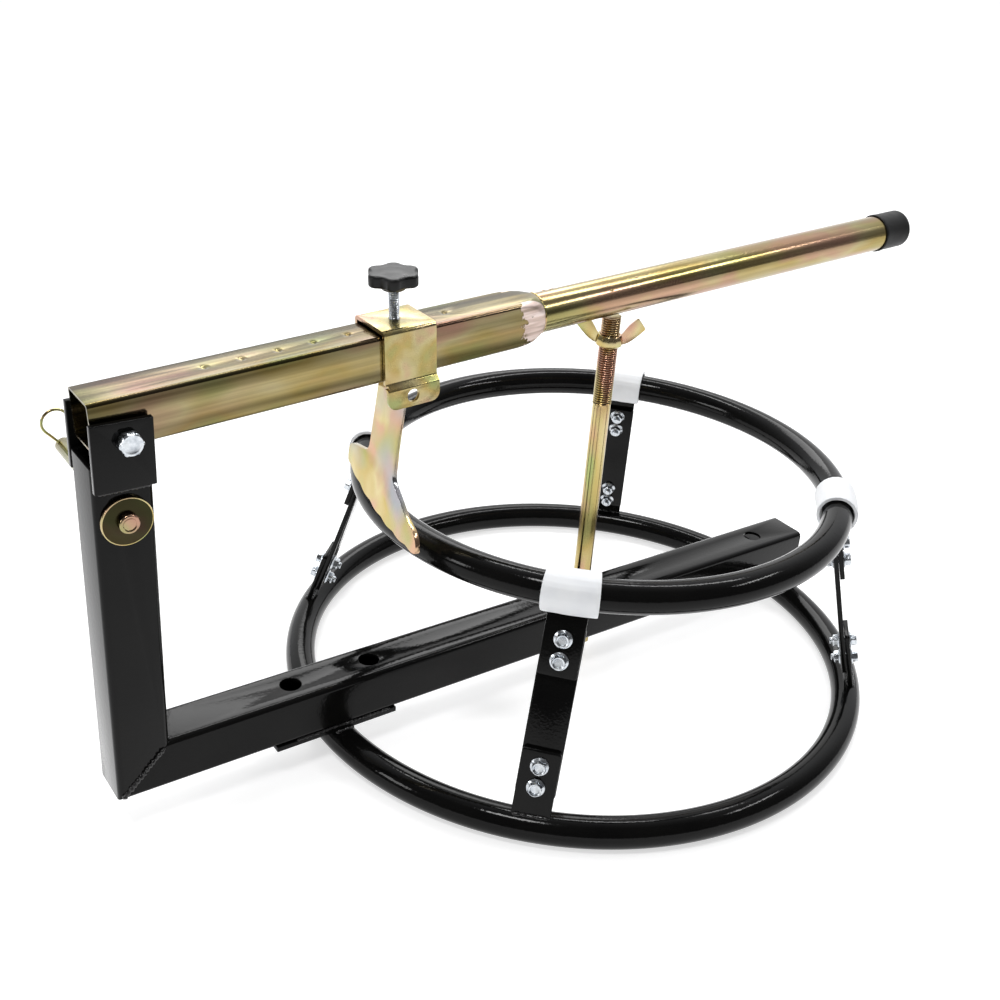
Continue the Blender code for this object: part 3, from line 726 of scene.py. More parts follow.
def build_frame():
    """Floor beam and upright, mitred together, with their holes and welds."""
    low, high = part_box("cross_arm")
    half = (high.y - low.y) / 2
    left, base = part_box("upright")[0].x, low.z
    beam_axes = frame_of(Vector((left, 0, (low.z + high.z) / 2)), X, Y, Z)
    length = high.x - left
    shape = square_tube(half, WALL, WALL_CORNER, lambda y, z: half + z + MITRE_GAP, lambda y, z: length)
    beam = mesh_object("floor_beam", shape, beam_axes)
    holes = []
    for x in BEAM_HOLES:
        place = LOWER_CENTRE.x + x - left
        holes.append(rod_between((place, 0, half - 2 * WALL), (place, 0, half + WALL), BEAM_HOLE))
    place = LOWER_CENTRE.x - left
    holes.append(rod_between((place, 0, -half - WALL), (place, 0, half + WALL), POST_HOLE))
    carve(beam, holes, beam_axes)
    paint_piece(beam, "cross_arm", bevel=0.35 * MM)

    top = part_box("upright")[1].z
    height = top - base
    up_axes = frame_of(Vector((left + half, 0, base)), Z, Y, -X)
    shape = square_tube(half, WALL, WALL_CORNER, lambda y, z: half - z + MITRE_GAP, lambda y, z: height)
    upright = mesh_object("upright_tube", shape, up_axes)
    centre = PIN.translation
    carve(upright, [rod_between(centre - Y * 2 * half, centre + Y * 2 * half, PIN_HOLE)], Matrix.Identity(4))
    paint_piece(upright, "upright", bevel=0.35 * MM)

    inset = 4.2 * MM
    for side_name, side in (("near", -half), ("far", half)):
        route = [(left + t, side, base + t) for t in (inset * 0.6, half, 2 * half - inset)]
        bead("mitre_weld_" + side_name, route, 1.9 * MM, seed=2 + side * 50, flat=0.8, ripple=0.6)
    inner_x, inner_z = left + 2 * half - 0.2 * MM, base + 2 * half - 0.2 * MM
    route = [(inner_x, y, inner_z) for y in (-half + 3 * MM, 0, half - 3 * MM)]
    bead("mitre_weld_inside", route, 1.8 * MM, seed=9)
    build_pads(base)
    build_cheeks(half, top)


def build_pads(beam_base):
    """Pad plates between the beam and the lower ring, with a weld to each along both edges."""
    ring_seam, beam_seam = 8 * MM, 42 * MM
    for name, side in (("left", -1), ("right", 1)):
        node = "weld_pad_" + name
        low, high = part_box(node)
        item = mesh_object("pad_plate_" + name, box(low, high))
        paint_piece(item, node)
        ring_x = LOWER_CENTRE.x + side * LOWER_RADIUS
        for edge_name, edge, inset in (("near", low.y, 0.9 * MM), ("far", high.y, -0.9 * MM)):
            seam = [(ring_x - ring_seam, edge, low.z - 0.6 * MM), (ring_x, edge, low.z - 0.4 * MM),
                    (ring_x + ring_seam, edge, low.z - 0.6 * MM)]
            bead("pad_ring_weld_%s_%s" % (name, edge_name), seam, 2.0 * MM, seed=3 + side + edge * 40)
            start = max(low.x + 6 * MM, ring_x - beam_seam)
            end = min(high.x - 6 * MM, ring_x + beam_seam)
            seam = [(start + (end - start) * k / 4, edge + inset, beam_base - 0.1 * MM) for k in range(5)]
            bead("pad_beam_weld_%s_%s" % (name, edge_name), seam, 1.3 * MM, seed=5 + side + edge * 60)


def build_cheeks(half, upright_top):
    """Pivot plates on the upright's two faces, each welded below and up both edges."""
    for name, out in (("near", -1), ("far", 1)):
        node = "pivot_cheek_" + name
        low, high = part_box(node)
        plate = mesh_object("cheek_plate_" + name, box(low, high))
        carve(plate, [rod_between(PIVOT - Y * 0.06, PIVOT + Y * 0.06, PIVOT_HOLE)], Matrix.Identity(4))
        paint_piece(plate, node)
        face, inset = out * half, 2 * MM
        route = [(low.x + inset + (high.x - low.x - 2 * inset) * k / 6, face + out * 1.0 * MM, low.z - 0.6 * MM)
                 for k in range(7)]
        bead("cheek_weld_below_" + name, route, 2.6 * MM, seed=11 + out)
        for edge_name, x in (("left", low.x + 1.8 * MM), ("right", high.x - 0.2 * MM)):
            route = [(x, face + out * 0.2 * MM, z) for z in (low.z + 1 * MM, upright_top - 1 * MM)]
            bead("cheek_weld_%s_%s" % (edge_name, name), route, 1.3 * MM, seed=13 + out + x * 9)
    build_pivot_bolt()


def build_pivot_bolt():
    """M10 bolt through both cheeks and the lever, head first along Y."""
    low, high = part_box("pivot_bolt")
    first, last = (low.y - PIVOT.y) / MM, (high.y - PIVOT.y) / MM
    seat, corner = 25.1, 8.35
    shape = hex_stack(15 * MM, (4.9, first + 0.5), (5.6, first + 0.15), (6.7, first),
                      (7.2, first + 0.1, "hex"), (corner, first + 0.9, "hex"), (corner, -seat, "hex"),
                      (5, -seat), (5, seat), (corner, seat, "hex"), (corner, 32.2, "hex"), (7.1, 33.1, "hex"),
                      (5.4, 33.1), (4.9, 32.6), (4.9, last - 0.8), (4.2, last))
    item = mesh_object("pivot_hex_bolt", shape, frame_of(PIVOT, -X, Z, Y))
    finish_piece(item, "stand", BOLT_ZINC, ("pivot_bolt",))


# ---------------------------------------------------------------- lever, handle, cap


LEVER_WALL = 1.5 * MM
DIMPLE_FIRST, DIMPLE_PITCH, DIMPLE_COUNT = 62.7 * MM, 26.61 * MM, 8
DIMPLE = mm((0.5, -1.25), (1.2, -1.1), (1.8, -0.7), (3.2, -0.25), (4.6, -0.06), (5.4, 0.03), (5.4, 2))


def build_lever():
    """Square tube with a row of dimples on top, pressed round where it enters the handle."""
    low, high = extent("lever_tube", LEVER)
    half, middle = high.y, (low.z + high.z) / 2
    axes = LEVER @ Matrix.Translation((0, 0, middle))
    crush = high.x - 26 * MM
    sections = [(low.x, 3.0, 0.0), (crush - 30 * MM, 3.0, 0.0), (crush, 3.2, 0.0), (crush + 8 * MM, 4.5, 0.05),
                (crush + 14 * MM, 6.5, 0.2), (crush + 18 * MM, 9.0, 0.4), (crush + 22 * MM, 12.0, 0.8),
                (crush + 24.5 * MM, 14.0, 1.15), (high.x, 15.4, 1.45)]

    def ring(u, corner, pinch, inset):
        size = max(half - pinch * MM - inset, 15.95 * MM)
        radius = min(size - 0.1 * MM, max(0.6 * MM, corner * MM - inset))
        return [(u, y, z) for y, z in rounded_square(size, radius, 9)]

    outer = [ring(u, corner, pinch, 0) for u, corner, pinch in sections]
    inner = []
    for u, corner, pinch in reversed(sections):
        thin = LEVER_WALL if u < crush else min(LEVER_WALL, half - pinch * MM - 15.98 * MM)
        inner.append(ring(u, corner, pinch, thin))
    tube = mesh_object("lever_square_tube", loft(outer + inner, True), axes)
    cuts = []
    for k in range(DIMPLE_COUNT):
        punch = turned(DIMPLE, 28)
        place = Matrix.Translation((DIMPLE_FIRST + k * DIMPLE_PITCH, 0, half))
        bmesh.ops.transform(punch, matrix=place, verts=punch.verts)
        cuts.append(punch)
    cuts.append(rod_between((0, -2 * half, -middle), (0, 2 * half, -middle), PIVOT_HOLE))
    carve(tube, cuts, axes)
    # the high first strength paints dark and bright reflection bands along the lever's walls
    steel = yellow_zinc("lever_yellow_zinc", drawn_and_reflection=0.9, warm=0.25, seed=1.7, mottle=0.9, dark=0.37)
    grind(steel, high.x, half)
    finish_piece(tube, "lever", steel, ("lever_tube",), sharp=40)


def grind(material, end, half):
    """Bare ground patch with crossing grinder marks and a ragged edge on the side walls by the joint."""
    tree = material.node_tree
    shader = tree.nodes["Principled BSDF"]
    coords = tree.nodes.new("ShaderNodeTexCoord")
    x, y, z = object_axes(tree)
    ragged = pattern(tree, 95, (1.0, 0.01, 1.0), 7, shift=8.0)
    bow = times(tree, math_node(tree, "POWER", math_node(tree, "ABSOLUTE", z), 2), -28)
    reach = plus(tree, x, plus(tree, bow, span(tree, ragged, -0.011, 0.011)))
    along = span(tree, reach, 0.0, 1.0, end - 24 * MM, end - 22.5 * MM)
    wall = math_node(tree, "ABSOLUTE", y)
    mask = times(tree, along, span(tree, wall, 0.0, 1.0, half - 5.5 * MM, half - 4 * MM))
    marks = []
    for turn, shift in ((20, 1.0), (-48, 4.0)):
        mapping = tree.nodes.new("ShaderNodeMapping")
        mapping.inputs["Rotation"].default_value = (0, math.radians(turn), 0)
        mapping.inputs["Scale"].default_value = (0.12, 0.4, 1.6)
        mapping.inputs["Location"].default_value = (shift, 0, 0)
        tree.links.new(coords.outputs["Object"], mapping.inputs["Vector"])
        scratches = add(tree, "ShaderNodeTexNoise", Scale=230.0, Detail=4.0)
        tree.links.new(mapping.outputs["Vector"], scratches.inputs["Vector"])
        marks.append(scratches.outputs["Fac"])
    both = times(tree, plus(tree, *marks), 0.5)
    tint = ramp(tree, both, (0.38, (0.42, 0.33, 0.27)), (0.5, (0.66, 0.52, 0.46)), (0.62, (0.84, 0.72, 0.67)))
    base, rough, normal = (shader.inputs[name] for name in ("Base Color", "Roughness", "Normal"))
    tree.links.new(mix(tree, mask, base.links[0].from_socket, tint), base)
    tree.links.new(plus(tree, rough.links[0].from_socket, times(tree, mask, 0.28)), rough)
    cuts = times(tree, both, mask)
    tree.links.new(bump(tree, cuts, 0.0008, 0.6, normal.links[0].from_socket), normal)


HANDLE_WALL = 2 * MM
SPATTER = ((14, 118), (19, 104), (67, 40), (96, 62))


def build_handle():
    """Round tube welded over the lever's end, with a few specks of spatter at (mm along, degrees)."""
    low, high = extent("handle_tube", LEVER)
    radius, middle = (high.y - low.y) / 2, (low.z + high.z) / 2
    length, inside = high.x - low.x, radius - HANDLE_WALL
    axes = frame_of(LEVER @ Vector((low.x, 0, middle)), Y, LEVER_UP, ALONG)
    pipe = turned([(radius, 0), (radius, length), (inside, length), (inside, 0)], 72, True)
    item = mesh_object("handle_round_tube", pipe, axes)
    # painted reflection: dark and bright bands run along the handle
    steel = yellow_zinc("handle_yellow_zinc", AROUND, drawn_and_reflection=0.5, warm=0.8, seed=6.2, mottle=0.3, dark=0.6,
                        olive=0.4)
    finish_piece(item, "lever", steel, ("handle_tube",), sharp=40)
    centre = LEVER @ Vector((extent("lever_tube", LEVER)[1].x, 0, middle))
    lift = ALONG * 0.4 * MM
    route = [centre + Y * a + LEVER_UP * b + lift for a, b in circle(radius + 0.1 * MM, 24)]
    route.append(route[0])
    weld = bead("handle_joint_weld", route, 1.15 * MM, seed=31, body="lever", ripple=0.35)
    weld.data.materials.clear()
    weld.data.materials.append(yellow_zinc("weld_yellow_zinc", (1, 1, 1), seed=3.3, dark=0.7))
    for index, (travel, angle) in enumerate(SPATTER):
        turn = math.radians(angle)
        out = LEVER_UP * math.sin(turn) - Y * math.cos(turn)
        spot = centre + ALONG * travel * MM + out * (radius - 0.1 * MM)
        route = [spot - ALONG * 1.6 * MM, spot, spot + ALONG * 1.6 * MM]
        nib = bead("handle_spatter_%d" % index, route, 0.9 * MM, seed=40 + index, body="lever")
        nib.data.materials.clear()
        nib.data.materials.append(steel)


def build_cap():
    """Rubber cap with a lip round the tube and a rounded end."""
    low, high = extent("handle_cap", LEVER)
    radius = (high.y - low.y) / 2 - 0.2 * MM
    deep = high.x - low.x - 0.1 * MM
    axes = frame_of(LEVER @ Vector((low.x, 0, (low.z + high.z) / 2)), Y, LEVER_UP, ALONG)
    inside, waist, bend = radius - 1.2 * MM, radius - 0.35 * MM, 4.0 * MM
    outline = [(inside, deep - 3.3 * MM), (inside, 0.2 * MM), (inside + 0.3 * MM, 0), (waist, 0),
               (radius - 0.05 * MM, 0.35 * MM), (radius, 1.2 * MM), (radius, 2.6 * MM), (waist, 3.1 * MM),
               (waist, deep - 4.4 * MM)]
    outline += quarter(waist - bend, deep - bend, bend, 0, 8)[1:]
    outline += [(radius * 0.55, deep - 0.1 * MM), (radius * 0.3, deep - 0.15 * MM)]
    item = mesh_object("rubber_end_cap", turned(outline, 72), axes)
    level_out(item)
    rubber = black_plastic("black_cap_rubber", 0.5, 0.005, 0.5)
    finish_piece(item, "lever", rubber, ("handle_cap",), sharp=45)


# ---------------------------------------------------------------- slider, clamp screw, blade


def bent_section(points, radii, steps=6):
    """Open polyline of (a, b) with each inner corner rounded to its radius."""
    smooth = [points[0]]
    for k in range(1, len(points) - 1):
        before, here, after = (Vector(points[k - 1]), Vector(points[k]), Vector(points[k + 1]))
        back, ahead = (before - here).normalized(), (after - here).normalized()
        half = math.acos(max(-1, min(1, back.dot(ahead)))) / 2
        cut = radii[k] / math.tan(half)
        centre = here + (back + ahead).normalized() * (radii[k] / math.sin(half))
        start, end = here + back * cut - centre, here + ahead * cut - centre
        for j in range(steps + 1):
            spoke = start.lerp(end, j / steps).normalized() * radii[k]
            smooth.append(tuple(centre + spoke))
    smooth.append(points[-1])
    return smooth


SHEET = 3 * MM
SADDLE_INNER, SADDLE_OUTER, SADDLE_CORNER = 18.1 * MM, 21.1 * MM, 7 * MM
FLARE, FLARE_TOP = 4 * MM, -8.5 * MM
SCREW_HOLE, SIDE_HOLE, SIDE_HOLE_DROP = 4.3 * MM, 5 * MM, -19.3 * MM
FAR = 40 * MM


def build_slider():
    """Folded saddle over the lever, its skirts stepped outward; returns the clamp screw's place."""
    low, high = extent("slider", LEVER)
    roof, wide = high.z, SADDLE_INNER + FLARE
    outside = [(0, roof), (SADDLE_OUTER, roof), (SADDLE_OUTER, FLARE_TOP),
               (SADDLE_OUTER + FLARE, FLARE_TOP - FLARE), (SADDLE_OUTER + FLARE, low.z)]
    fold = FLARE_TOP - 1.2 * MM
    inside = [(0, roof - SHEET), (SADDLE_INNER, roof - SHEET), (SADDLE_INNER, fold), (wide, fold - FLARE),
              (wide, low.z)]
    outer_line = bent_section(outside, (0, 3.6 * MM, 2.4 * MM, 2.0 * MM, 0))
    inner_line = bent_section(inside, (0, 0.8 * MM, 1.2 * MM, 2.6 * MM, 0))
    half_outline = outer_line[1:] + list(reversed(inner_line[1:]))
    outline = half_outline + [(-a, b) for a, b in reversed(half_outline)]
    shape = prism(outline, low.x, high.x, lambda a, b, d: (d, a, b))
    item = mesh_object("saddle_sheet", shape, LEVER)
    side = [(low.x - 2 * MM, roof + 5 * MM), (low.x - 2 * MM, FLARE_TOP)]
    for centre, start in ((low.x + SADDLE_CORNER, 180), (high.x - SADDLE_CORNER, 270)):
        side += quarter(centre, low.z + SADDLE_CORNER, SADDLE_CORNER, start, 9)
    side += [(high.x + 2 * MM, FLARE_TOP), (high.x + 2 * MM, roof + 5 * MM)]
    carve(item, [prism(side, -FAR, FAR, across_sheet)], LEVER, "INTERSECT")
    stud = extent("clamp_stud", LEVER)
    stud_u = (stud[0].x + stud[1].x) / 2
    side_hole = rod_between((stud_u, -FAR, SIDE_HOLE_DROP), (stud_u, FAR, SIDE_HOLE_DROP), SIDE_HOLE)
    screw_hole = rod_between((stud_u, 0, roof - 2 * SHEET), (stud_u, 0, roof + SHEET), SCREW_HOLE)
    notch = box((low.x - 1 * MM, -FAR, FLARE_TOP - 3.0 * MM), (low.x + 1.6 * MM, FAR, FLARE_TOP - 0.6 * MM))
    carve(item, [side_hole, screw_hole, notch], LEVER)
    steel = yellow_zinc("saddle_yellow_zinc", EVEN, warm=0.15, seed=12.4, mottle=1.0, dark=0.62, gloss=0.24,
                        cells=34, olive=0.3)
    finish_piece(item, "slider", steel, ("slider",), bevel=0.45 * MM, sharp=35)
    return stud_u


KNOB_LOBES, KNOB_LOBE = 6, 1.6


def lobed(radius, lobe, height, count=192):
    """Ring of a lobed knob, in mm, its waves squared off a little."""
    ring = []
    for k in range(count):
        angle = math.tau * k / count
        wave = math.cos(KNOB_LOBES * angle)
        r = (radius + lobe * math.copysign(abs(wave) ** 0.8, wave)) * MM
        ring.append((r * math.cos(angle), r * math.sin(angle), height * MM))
    return ring


def build_clamp(stud_u):
    """Clamp screw with a fine thread, and its knob."""
    low, high = extent("clamp_stud", LEVER)
    radius = (high.y - low.y) / 2
    stud = threaded([(radius - 1.2 * MM, 0)], 0.6 * MM, high.z - low.z, 1.25 * MM, 0.55 * MM, radius, 32, 7)
    item = mesh_object("clamp_screw_stud", stud, LEVER @ Matrix.Translation((stud_u, 0, low.z)))
    finish_piece(item, "stud", bright_zinc("stud_zinc", 4.0), ("clamp_stud",), sharp=50)
    low, high = extent("clamp_knob", LEVER)
    tall, lobe = (high.z - low.z) / MM, KNOB_LOBE
    reach = (high.x - low.x) / 2 / MM - lobe
    rows = [(5.2, 0, 0.0), (8.3, 0, 0.0), (8.7, 0, 0.4), (9.6, 0, 2.8), (11.0, 0.2, 3.6),
            (reach - 3, lobe * 0.8, 4.0), (reach - 0.9, lobe, 4.4), (reach - 0.2, lobe, 5.2),
            (reach, lobe, 6.2), (reach, lobe, tall - 3.2), (reach - 0.2, lobe, tall - 2.2),
            (reach - 0.9, lobe, tall - 1.5),
            (reach - 2.0, lobe * 0.95, tall - 1.15), (reach - 3.6, lobe * 0.75, tall - 1.1),
            (reach - 5.4, lobe * 0.4, tall - 1.15), (10.2, 0.1, tall - 0.95), (7.6, 0, tall - 0.45),
            (4.6, 0, tall - 0.12), (1.5, 0, tall)]
    knob = loft([lobed(*row) for row in rows])
    item = mesh_object("lobed_knob", knob, LEVER @ Matrix.Translation((stud_u, 0, low.z)))
    level_out(item)
    plastic = black_plastic("knob_plastic", 0.3, 0.006)
    finish_piece(item, "knob", plastic, ("clamp_knob",), sharp=50)


BLADE_STEM, BLADE_LEAN, BLADE_THICK = 17.5 * MM, 0.1867, 4 * MM
BEND_U, BEND_N = 205 * MM, -9.2 * MM


def blade_outline():
    """Blade seen square on, as (y, distance below the bend), with round shoulders and a scalloped edge."""
    far = [(BLADE_STEM, 0), (BLADE_STEM, 0.060), (BLADE_STEM + 0.2 * MM, 0.066), (0.0192, 0.0696),
           (0.0222, 0.0715), (0.028, 0.0727), (0.036, 0.0738), (0.0418, 0.0748), (0.0445, 0.0765),
           (0.0458, 0.079), (0.0461, 0.082), (0.0457, 0.086), (0.045, 0.0895), (0.0428, 0.0912)]
    start, end = Vector((0.0405, 0.0918)), Vector((-0.0585, 0.1184))
    chord = end - start
    normal = Vector((-chord.y, chord.x)).normalized()
    normal = normal if normal.y > 0 else -normal
    edge = []
    count = 110
    for k in range(count + 1):
        s = k / count
        swell = 6.3 * MM * 4 * s * (1 - s)
        notch = 1.35 * MM * abs(math.sin(math.pi * 5.5 * s)) ** 1.4
        edge.append(tuple(start + chord * s + normal * (swell + notch)))
    near = [(-0.0608, 0.1194), (-0.0626, 0.1188), (-0.0633, 0.1170), (-0.0628, 0.1135), (-0.0608, 0.1092),
            (-0.0580, 0.1058), (-0.0545, 0.1031), (-0.0490, 0.1005), (-0.0436, 0.0976), (-0.0388, 0.0942),
            (-0.0345, 0.0905), (-0.0300, 0.0872), (-0.0254, 0.0838), (-0.0218, 0.0808), (-0.0199, 0.0780),
            (-0.0193, 0.0745), (-0.0189, 0.068), (-0.0178, 0.055), (-BLADE_STEM, 0.045), (-BLADE_STEM, 0)]
    return far + edge + near


def build_blade():
    """Leaning plate joined to a flat leg that runs under the lever."""
    down = Vector((-math.sin(BLADE_LEAN), 0, -math.cos(BLADE_LEAN)))
    right = Vector((math.cos(BLADE_LEAN), 0, -math.sin(BLADE_LEAN)))
    bend = Vector((BEND_U, 0, BEND_N))
    plate = prism(blade_outline(), 0, BLADE_THICK, lambda y, w, d: bend + down * w + right * d + Y * y)
    item = mesh_object("bead_breaker_blade", plate, LEVER)
    end_u = extent("bead_blade", LEVER)[1].x
    leg = box((BEND_U + 0.5 * MM, -BLADE_STEM, BEND_N - BLADE_THICK), (end_u, BLADE_STEM, BEND_N - 0.02 * MM))
    carve(item, [leg], LEVER, "UNION")
    steel = yellow_zinc("blade_yellow_zinc", (0.9, 0.9, 0.6), warm=0.8, seed=21.3, mottle=0.1, cells=24,
                        rainbow=0.8, dark=0.78)
    finish_piece(item, "slider", steel, ("bead_blade",), bevel=0.5 * MM, sharp=35)


# ---------------------------------------------------------------- post, wing nut, hitch pin


def shade_thread(material, start, pitch):
    """Paints shade into the thread's groove along its helix, above the shank."""
    tree = material.node_tree
    base = tree.nodes["Principled BSDF"].inputs["Base Color"]
    x, y, z = object_axes(tree)
    turn = math_node(tree, "ARCTAN2", y, x)
    climb = math_node(tree, "DIVIDE", z, pitch)
    phase = math_node(tree, "SUBTRACT", climb, math_node(tree, "DIVIDE", turn, math.tau))
    wave = math_node(tree, "ABSOLUTE", math_node(tree, "SUBTRACT", math_node(tree, "FRACT", phase), 0.5))
    groove = span(tree, wave, 0.85, 0.0, 0.06, 0.3)
    mask = times(tree, groove, math_node(tree, "GREATER_THAN", z, start))
    tree.links.new(mix(tree, mask, base.links[0].from_socket, (0.055, 0.025, 0.012)), base)


POST_ACROSS, POST_SHANK, POST_THREAD = 24 * MM, 7.7 * MM, 8 * MM
THREAD_START, THREAD_PITCH = 256.9 * MM, 2 * MM


def build_post():
    """Long bolt up through the beam: hex head below it, then a plain shank and a thread."""
    low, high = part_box("centre_post")
    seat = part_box("cross_arm")[0].z - GAP
    foot, top = low.z / MM, seat / MM
    head = hex_stack(POST_ACROSS, (11.4, foot, "hex"), (13.3, foot + 1.2, "hex"), (13.3, top, "hex"), (9, top))
    item = mesh_object("post_hex_head", head, POST)
    # painted reflection: faint dark and bright bands run along the post
    steel = yellow_zinc("post_yellow_zinc", AROUND, drawn_and_reflection=0.3, warm=1.0, seed=15.0, mottle=0.2, dark=0.72,
                        olive=0.1)
    finish_piece(item, "stand", steel)
    shank = [(POST_SHANK, height) for height in (seat - 0.5 * MM, seat + 1 * MM, THREAD_START - 2 * MM,
                                                 THREAD_START - 0.4 * MM)]
    post = threaded(shank, THREAD_START, high.z - 1.2 * MM, THREAD_PITCH, 1.25 * MM, POST_THREAD, 36, 8)
    shade_thread(steel, THREAD_START, THREAD_PITCH)
    item = mesh_object("threaded_post", post, POST)
    finish_piece(item, "stand", steel, ("centre_post",), sharp=50)


NUT_RADIUS, NUT_BORE, NUT_TALL, NUT_FACETS = 11.5 * MM, 8.2 * MM, 9 * MM, 12
WING_HALF = 1.5 * MM
WING = mm((8.9, 0.8), (11.2, 1.2), (13.6, 2.1), (16.0, 3.5), (18.6, 5.6), (21.2, 8.1), (23.8, 10.7),
          (27.9, 15.3), (28.2, 16.0), (28.0, 16.8), (22.6, 23.5), (21.8, 23.9), (21.0, 23.8), (18.0, 20.8),
          (15.0, 17.4), (12.6, 14.0), (10.9, 11.0), (8.9, 8.6))


def build_wing_nut():
    """Faceted boss with two upswept wings."""
    turn = Matrix.Rotation(math.radians(-40), 4, "Z")
    axes = POST @ Matrix.Translation((0, 0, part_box("wing_nut")[0].z)) @ turn
    facet = math.tau / NUT_FACETS
    sections = [(NUT_RADIUS * 0.93, 0, 0.6), (NUT_RADIUS, 0.8 * MM, 1), (NUT_RADIUS, 4.6 * MM, 1),
                (NUT_RADIUS * 0.88, 8.4 * MM, 0.6), (NUT_RADIUS * 0.82, NUT_TALL, 0)]
    rings = []
    for reach, height, flat in sections:
        ring = []
        for k in range(96):
            angle = math.tau * k / 96
            apothem = math.cos(facet / 2) / math.cos(angle % facet - facet / 2)
            r = reach * (1 - flat + flat * apothem)
            ring.append((r * math.cos(angle), r * math.sin(angle), height))
        rings.append(ring)
    rings += [[(x, y, height) for x, y in circle(NUT_BORE, 96)] for height in (NUT_TALL, 0)]
    item = mesh_object("wing_nut_boss", loft(rings, True), axes)
    wings = [prism([(side * a, b) for a, b in WING], -WING_HALF, WING_HALF, across_sheet) for side in (-1, 1)]
    carve(item, wings, axes, "UNION")
    steel = yellow_zinc("wing_yellow_zinc", EVEN, warm=0.3, seed=27.0, mottle=0.2, dark=0.75)
    finish_piece(item, "wing_nut", steel, ("wing_nut",), bevel=0.6 * MM, sharp=38)


def clip_route():
    """Spring clip's centreline in the pin's cross plane, as (x, z) from the pin's centre, in mm."""
    points = [(5.8, -6.6), (2, -2.3), (-2, 2.3), (-6, 6.8), (-9.6, 10.9)]
    for k in range(13):
        angle = math.radians(215 - 200 * k / 12)
        points.append((-5.1 + 9.6 * math.cos(angle), 20.3 + 9.6 * math.sin(angle)))
    return points + [(5.3, 17), (6.2, 10.5), (7.2, 4), (7.5, 0), (8.6, -5), (11.2, -9.8)]


WASHER_THICK, WASHER_BORE = 3 * MM, 6.35 * MM
PIN_SHANK, PIN_HEAD_DEEP = 6 * MM, 4.4 * MM
CLIP_Y, CLIP_WIRE = 101 * MM, 1.0 * MM


def build_washer():
    """Washer in a near-black copy of the zinc as painted shade, with a bright copy on its rim as a painted
    highlight.
    """
    low, high = extent("hitch_washer", PIN)
    radius, mouth = (high.x - low.x) / 2, WASHER_BORE + 0.45 * MM
    disc = [(radius - 0.9 * MM, 0), (radius - 0.25 * MM, 0.2 * MM), (radius, 0.9 * MM), (radius, 2.3 * MM),
            (radius - 0.4 * MM, WASHER_THICK), (mouth, WASHER_THICK), (WASHER_BORE, 2.6 * MM),
            (WASHER_BORE, 0.4 * MM), (mouth, 0)]
    axes = PIN @ frame_of(Vector((0, low.y, 0)), -X, Z, Y)
    item = mesh_object("hitch_washer_disc", turned(disc, 96, True), axes)
    # painted shade: the washer's faces get a near-black copy of the zinc
    shaded_washer_zinc = yellow_zinc("washer_painted_shade_zinc", EVEN, seed=33.0, mottle=0.35, dark=0.055)
    finish_piece(item, "washer", shaded_washer_zinc, ("hitch_washer",), sharp=40)
    # painted highlight: a bright copy of the same zinc on the faces round the rim
    item.data.materials.append(yellow_zinc("washer_rim_painted_highlight_zinc", EVEN, seed=35.0, dark=0.8))
    for face in item.data.polygons:
        if abs(math.hypot(face.center.x, face.center.y) - radius) < 0.75 * MM:
            face.material_index = 1


def build_pin():
    """Pin with a dished, stamped head and a cross hole for its spring clip."""
    low, high = extent("hitch_pin", PIN)
    head, shank, long = (high.x - low.x) / 2, PIN_SHANK, high.y - low.y
    profile = mm((0.4, 0.9), (1.6, 0.5), (2.4, 0.75), (3.4, 0.4), (4.2, 0.7), (4.9, 0.1), (5.6, 0.02))
    profile += [(head - 0.7 * MM, 0.15 * MM), (head - 0.1 * MM, 0.7 * MM), (head, 1.4 * MM),
                (head, PIN_HEAD_DEEP), (shank, PIN_HEAD_DEEP), (shank, long - 1.8 * MM),
                (shank - 0.5 * MM, long - 0.9 * MM), (shank - 1.6 * MM, long)]
    axes = PIN @ frame_of(Vector((0, low.y, 0)), -X, Z, Y)
    item = mesh_object("hitch_pin_shank", turned(profile, 64), axes)
    steel = yellow_zinc("pin_yellow_zinc", (1.6, 1.6, 0.1), warm=0.3, seed=38.0, mottle=0.3, dark=0.55)
    cross = Vector((0, CLIP_Y, 0))
    lead = Vector((-0.66, 0, 0.75)).normalized() * 12 * MM
    carve(item, [rod_between(cross - lead, cross + lead, 1.3 * MM, 24)], PIN)
    finish_piece(item, "pin", steel, ("hitch_pin",), sharp=40)


def build_hitch():
    build_washer()
    build_pin()
    wire = bpy.data.curves.new("r_clip_wire", "CURVE")
    wire.dimensions = "3D"
    wire.bevel_depth = CLIP_WIRE
    wire.bevel_resolution = 4
    wire.use_fill_caps = True
    wire.resolution_u = 8
    spline = wire.splines.new("BEZIER")
    route = clip_route()
    spline.bezier_points.add(len(route) - 1)
    for point, (x, z) in zip(spline.bezier_points, route):
        point.co = (x * MM, CLIP_Y, z * MM)
        point.handle_left_type = "AUTO"
        point.handle_right_type = "AUTO"
    wire.materials.append(yellow_zinc("clip_yellow_zinc", EVEN, seed=44.0, warm=1.0, dark=0.7))
    clip = place_object("r_clip_wire", wire, PIN)
    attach(clip, "pin")
    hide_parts("spring_clip")


# ---------------------------------------------------------------- stage, light, camera


FLOOR_HALF, FLOOR_DEEP, FLOOR_DROP = 14.0, 0.02, 0.2 * MM
SUN_SIDE = (0.50, 0.74, 0.45)


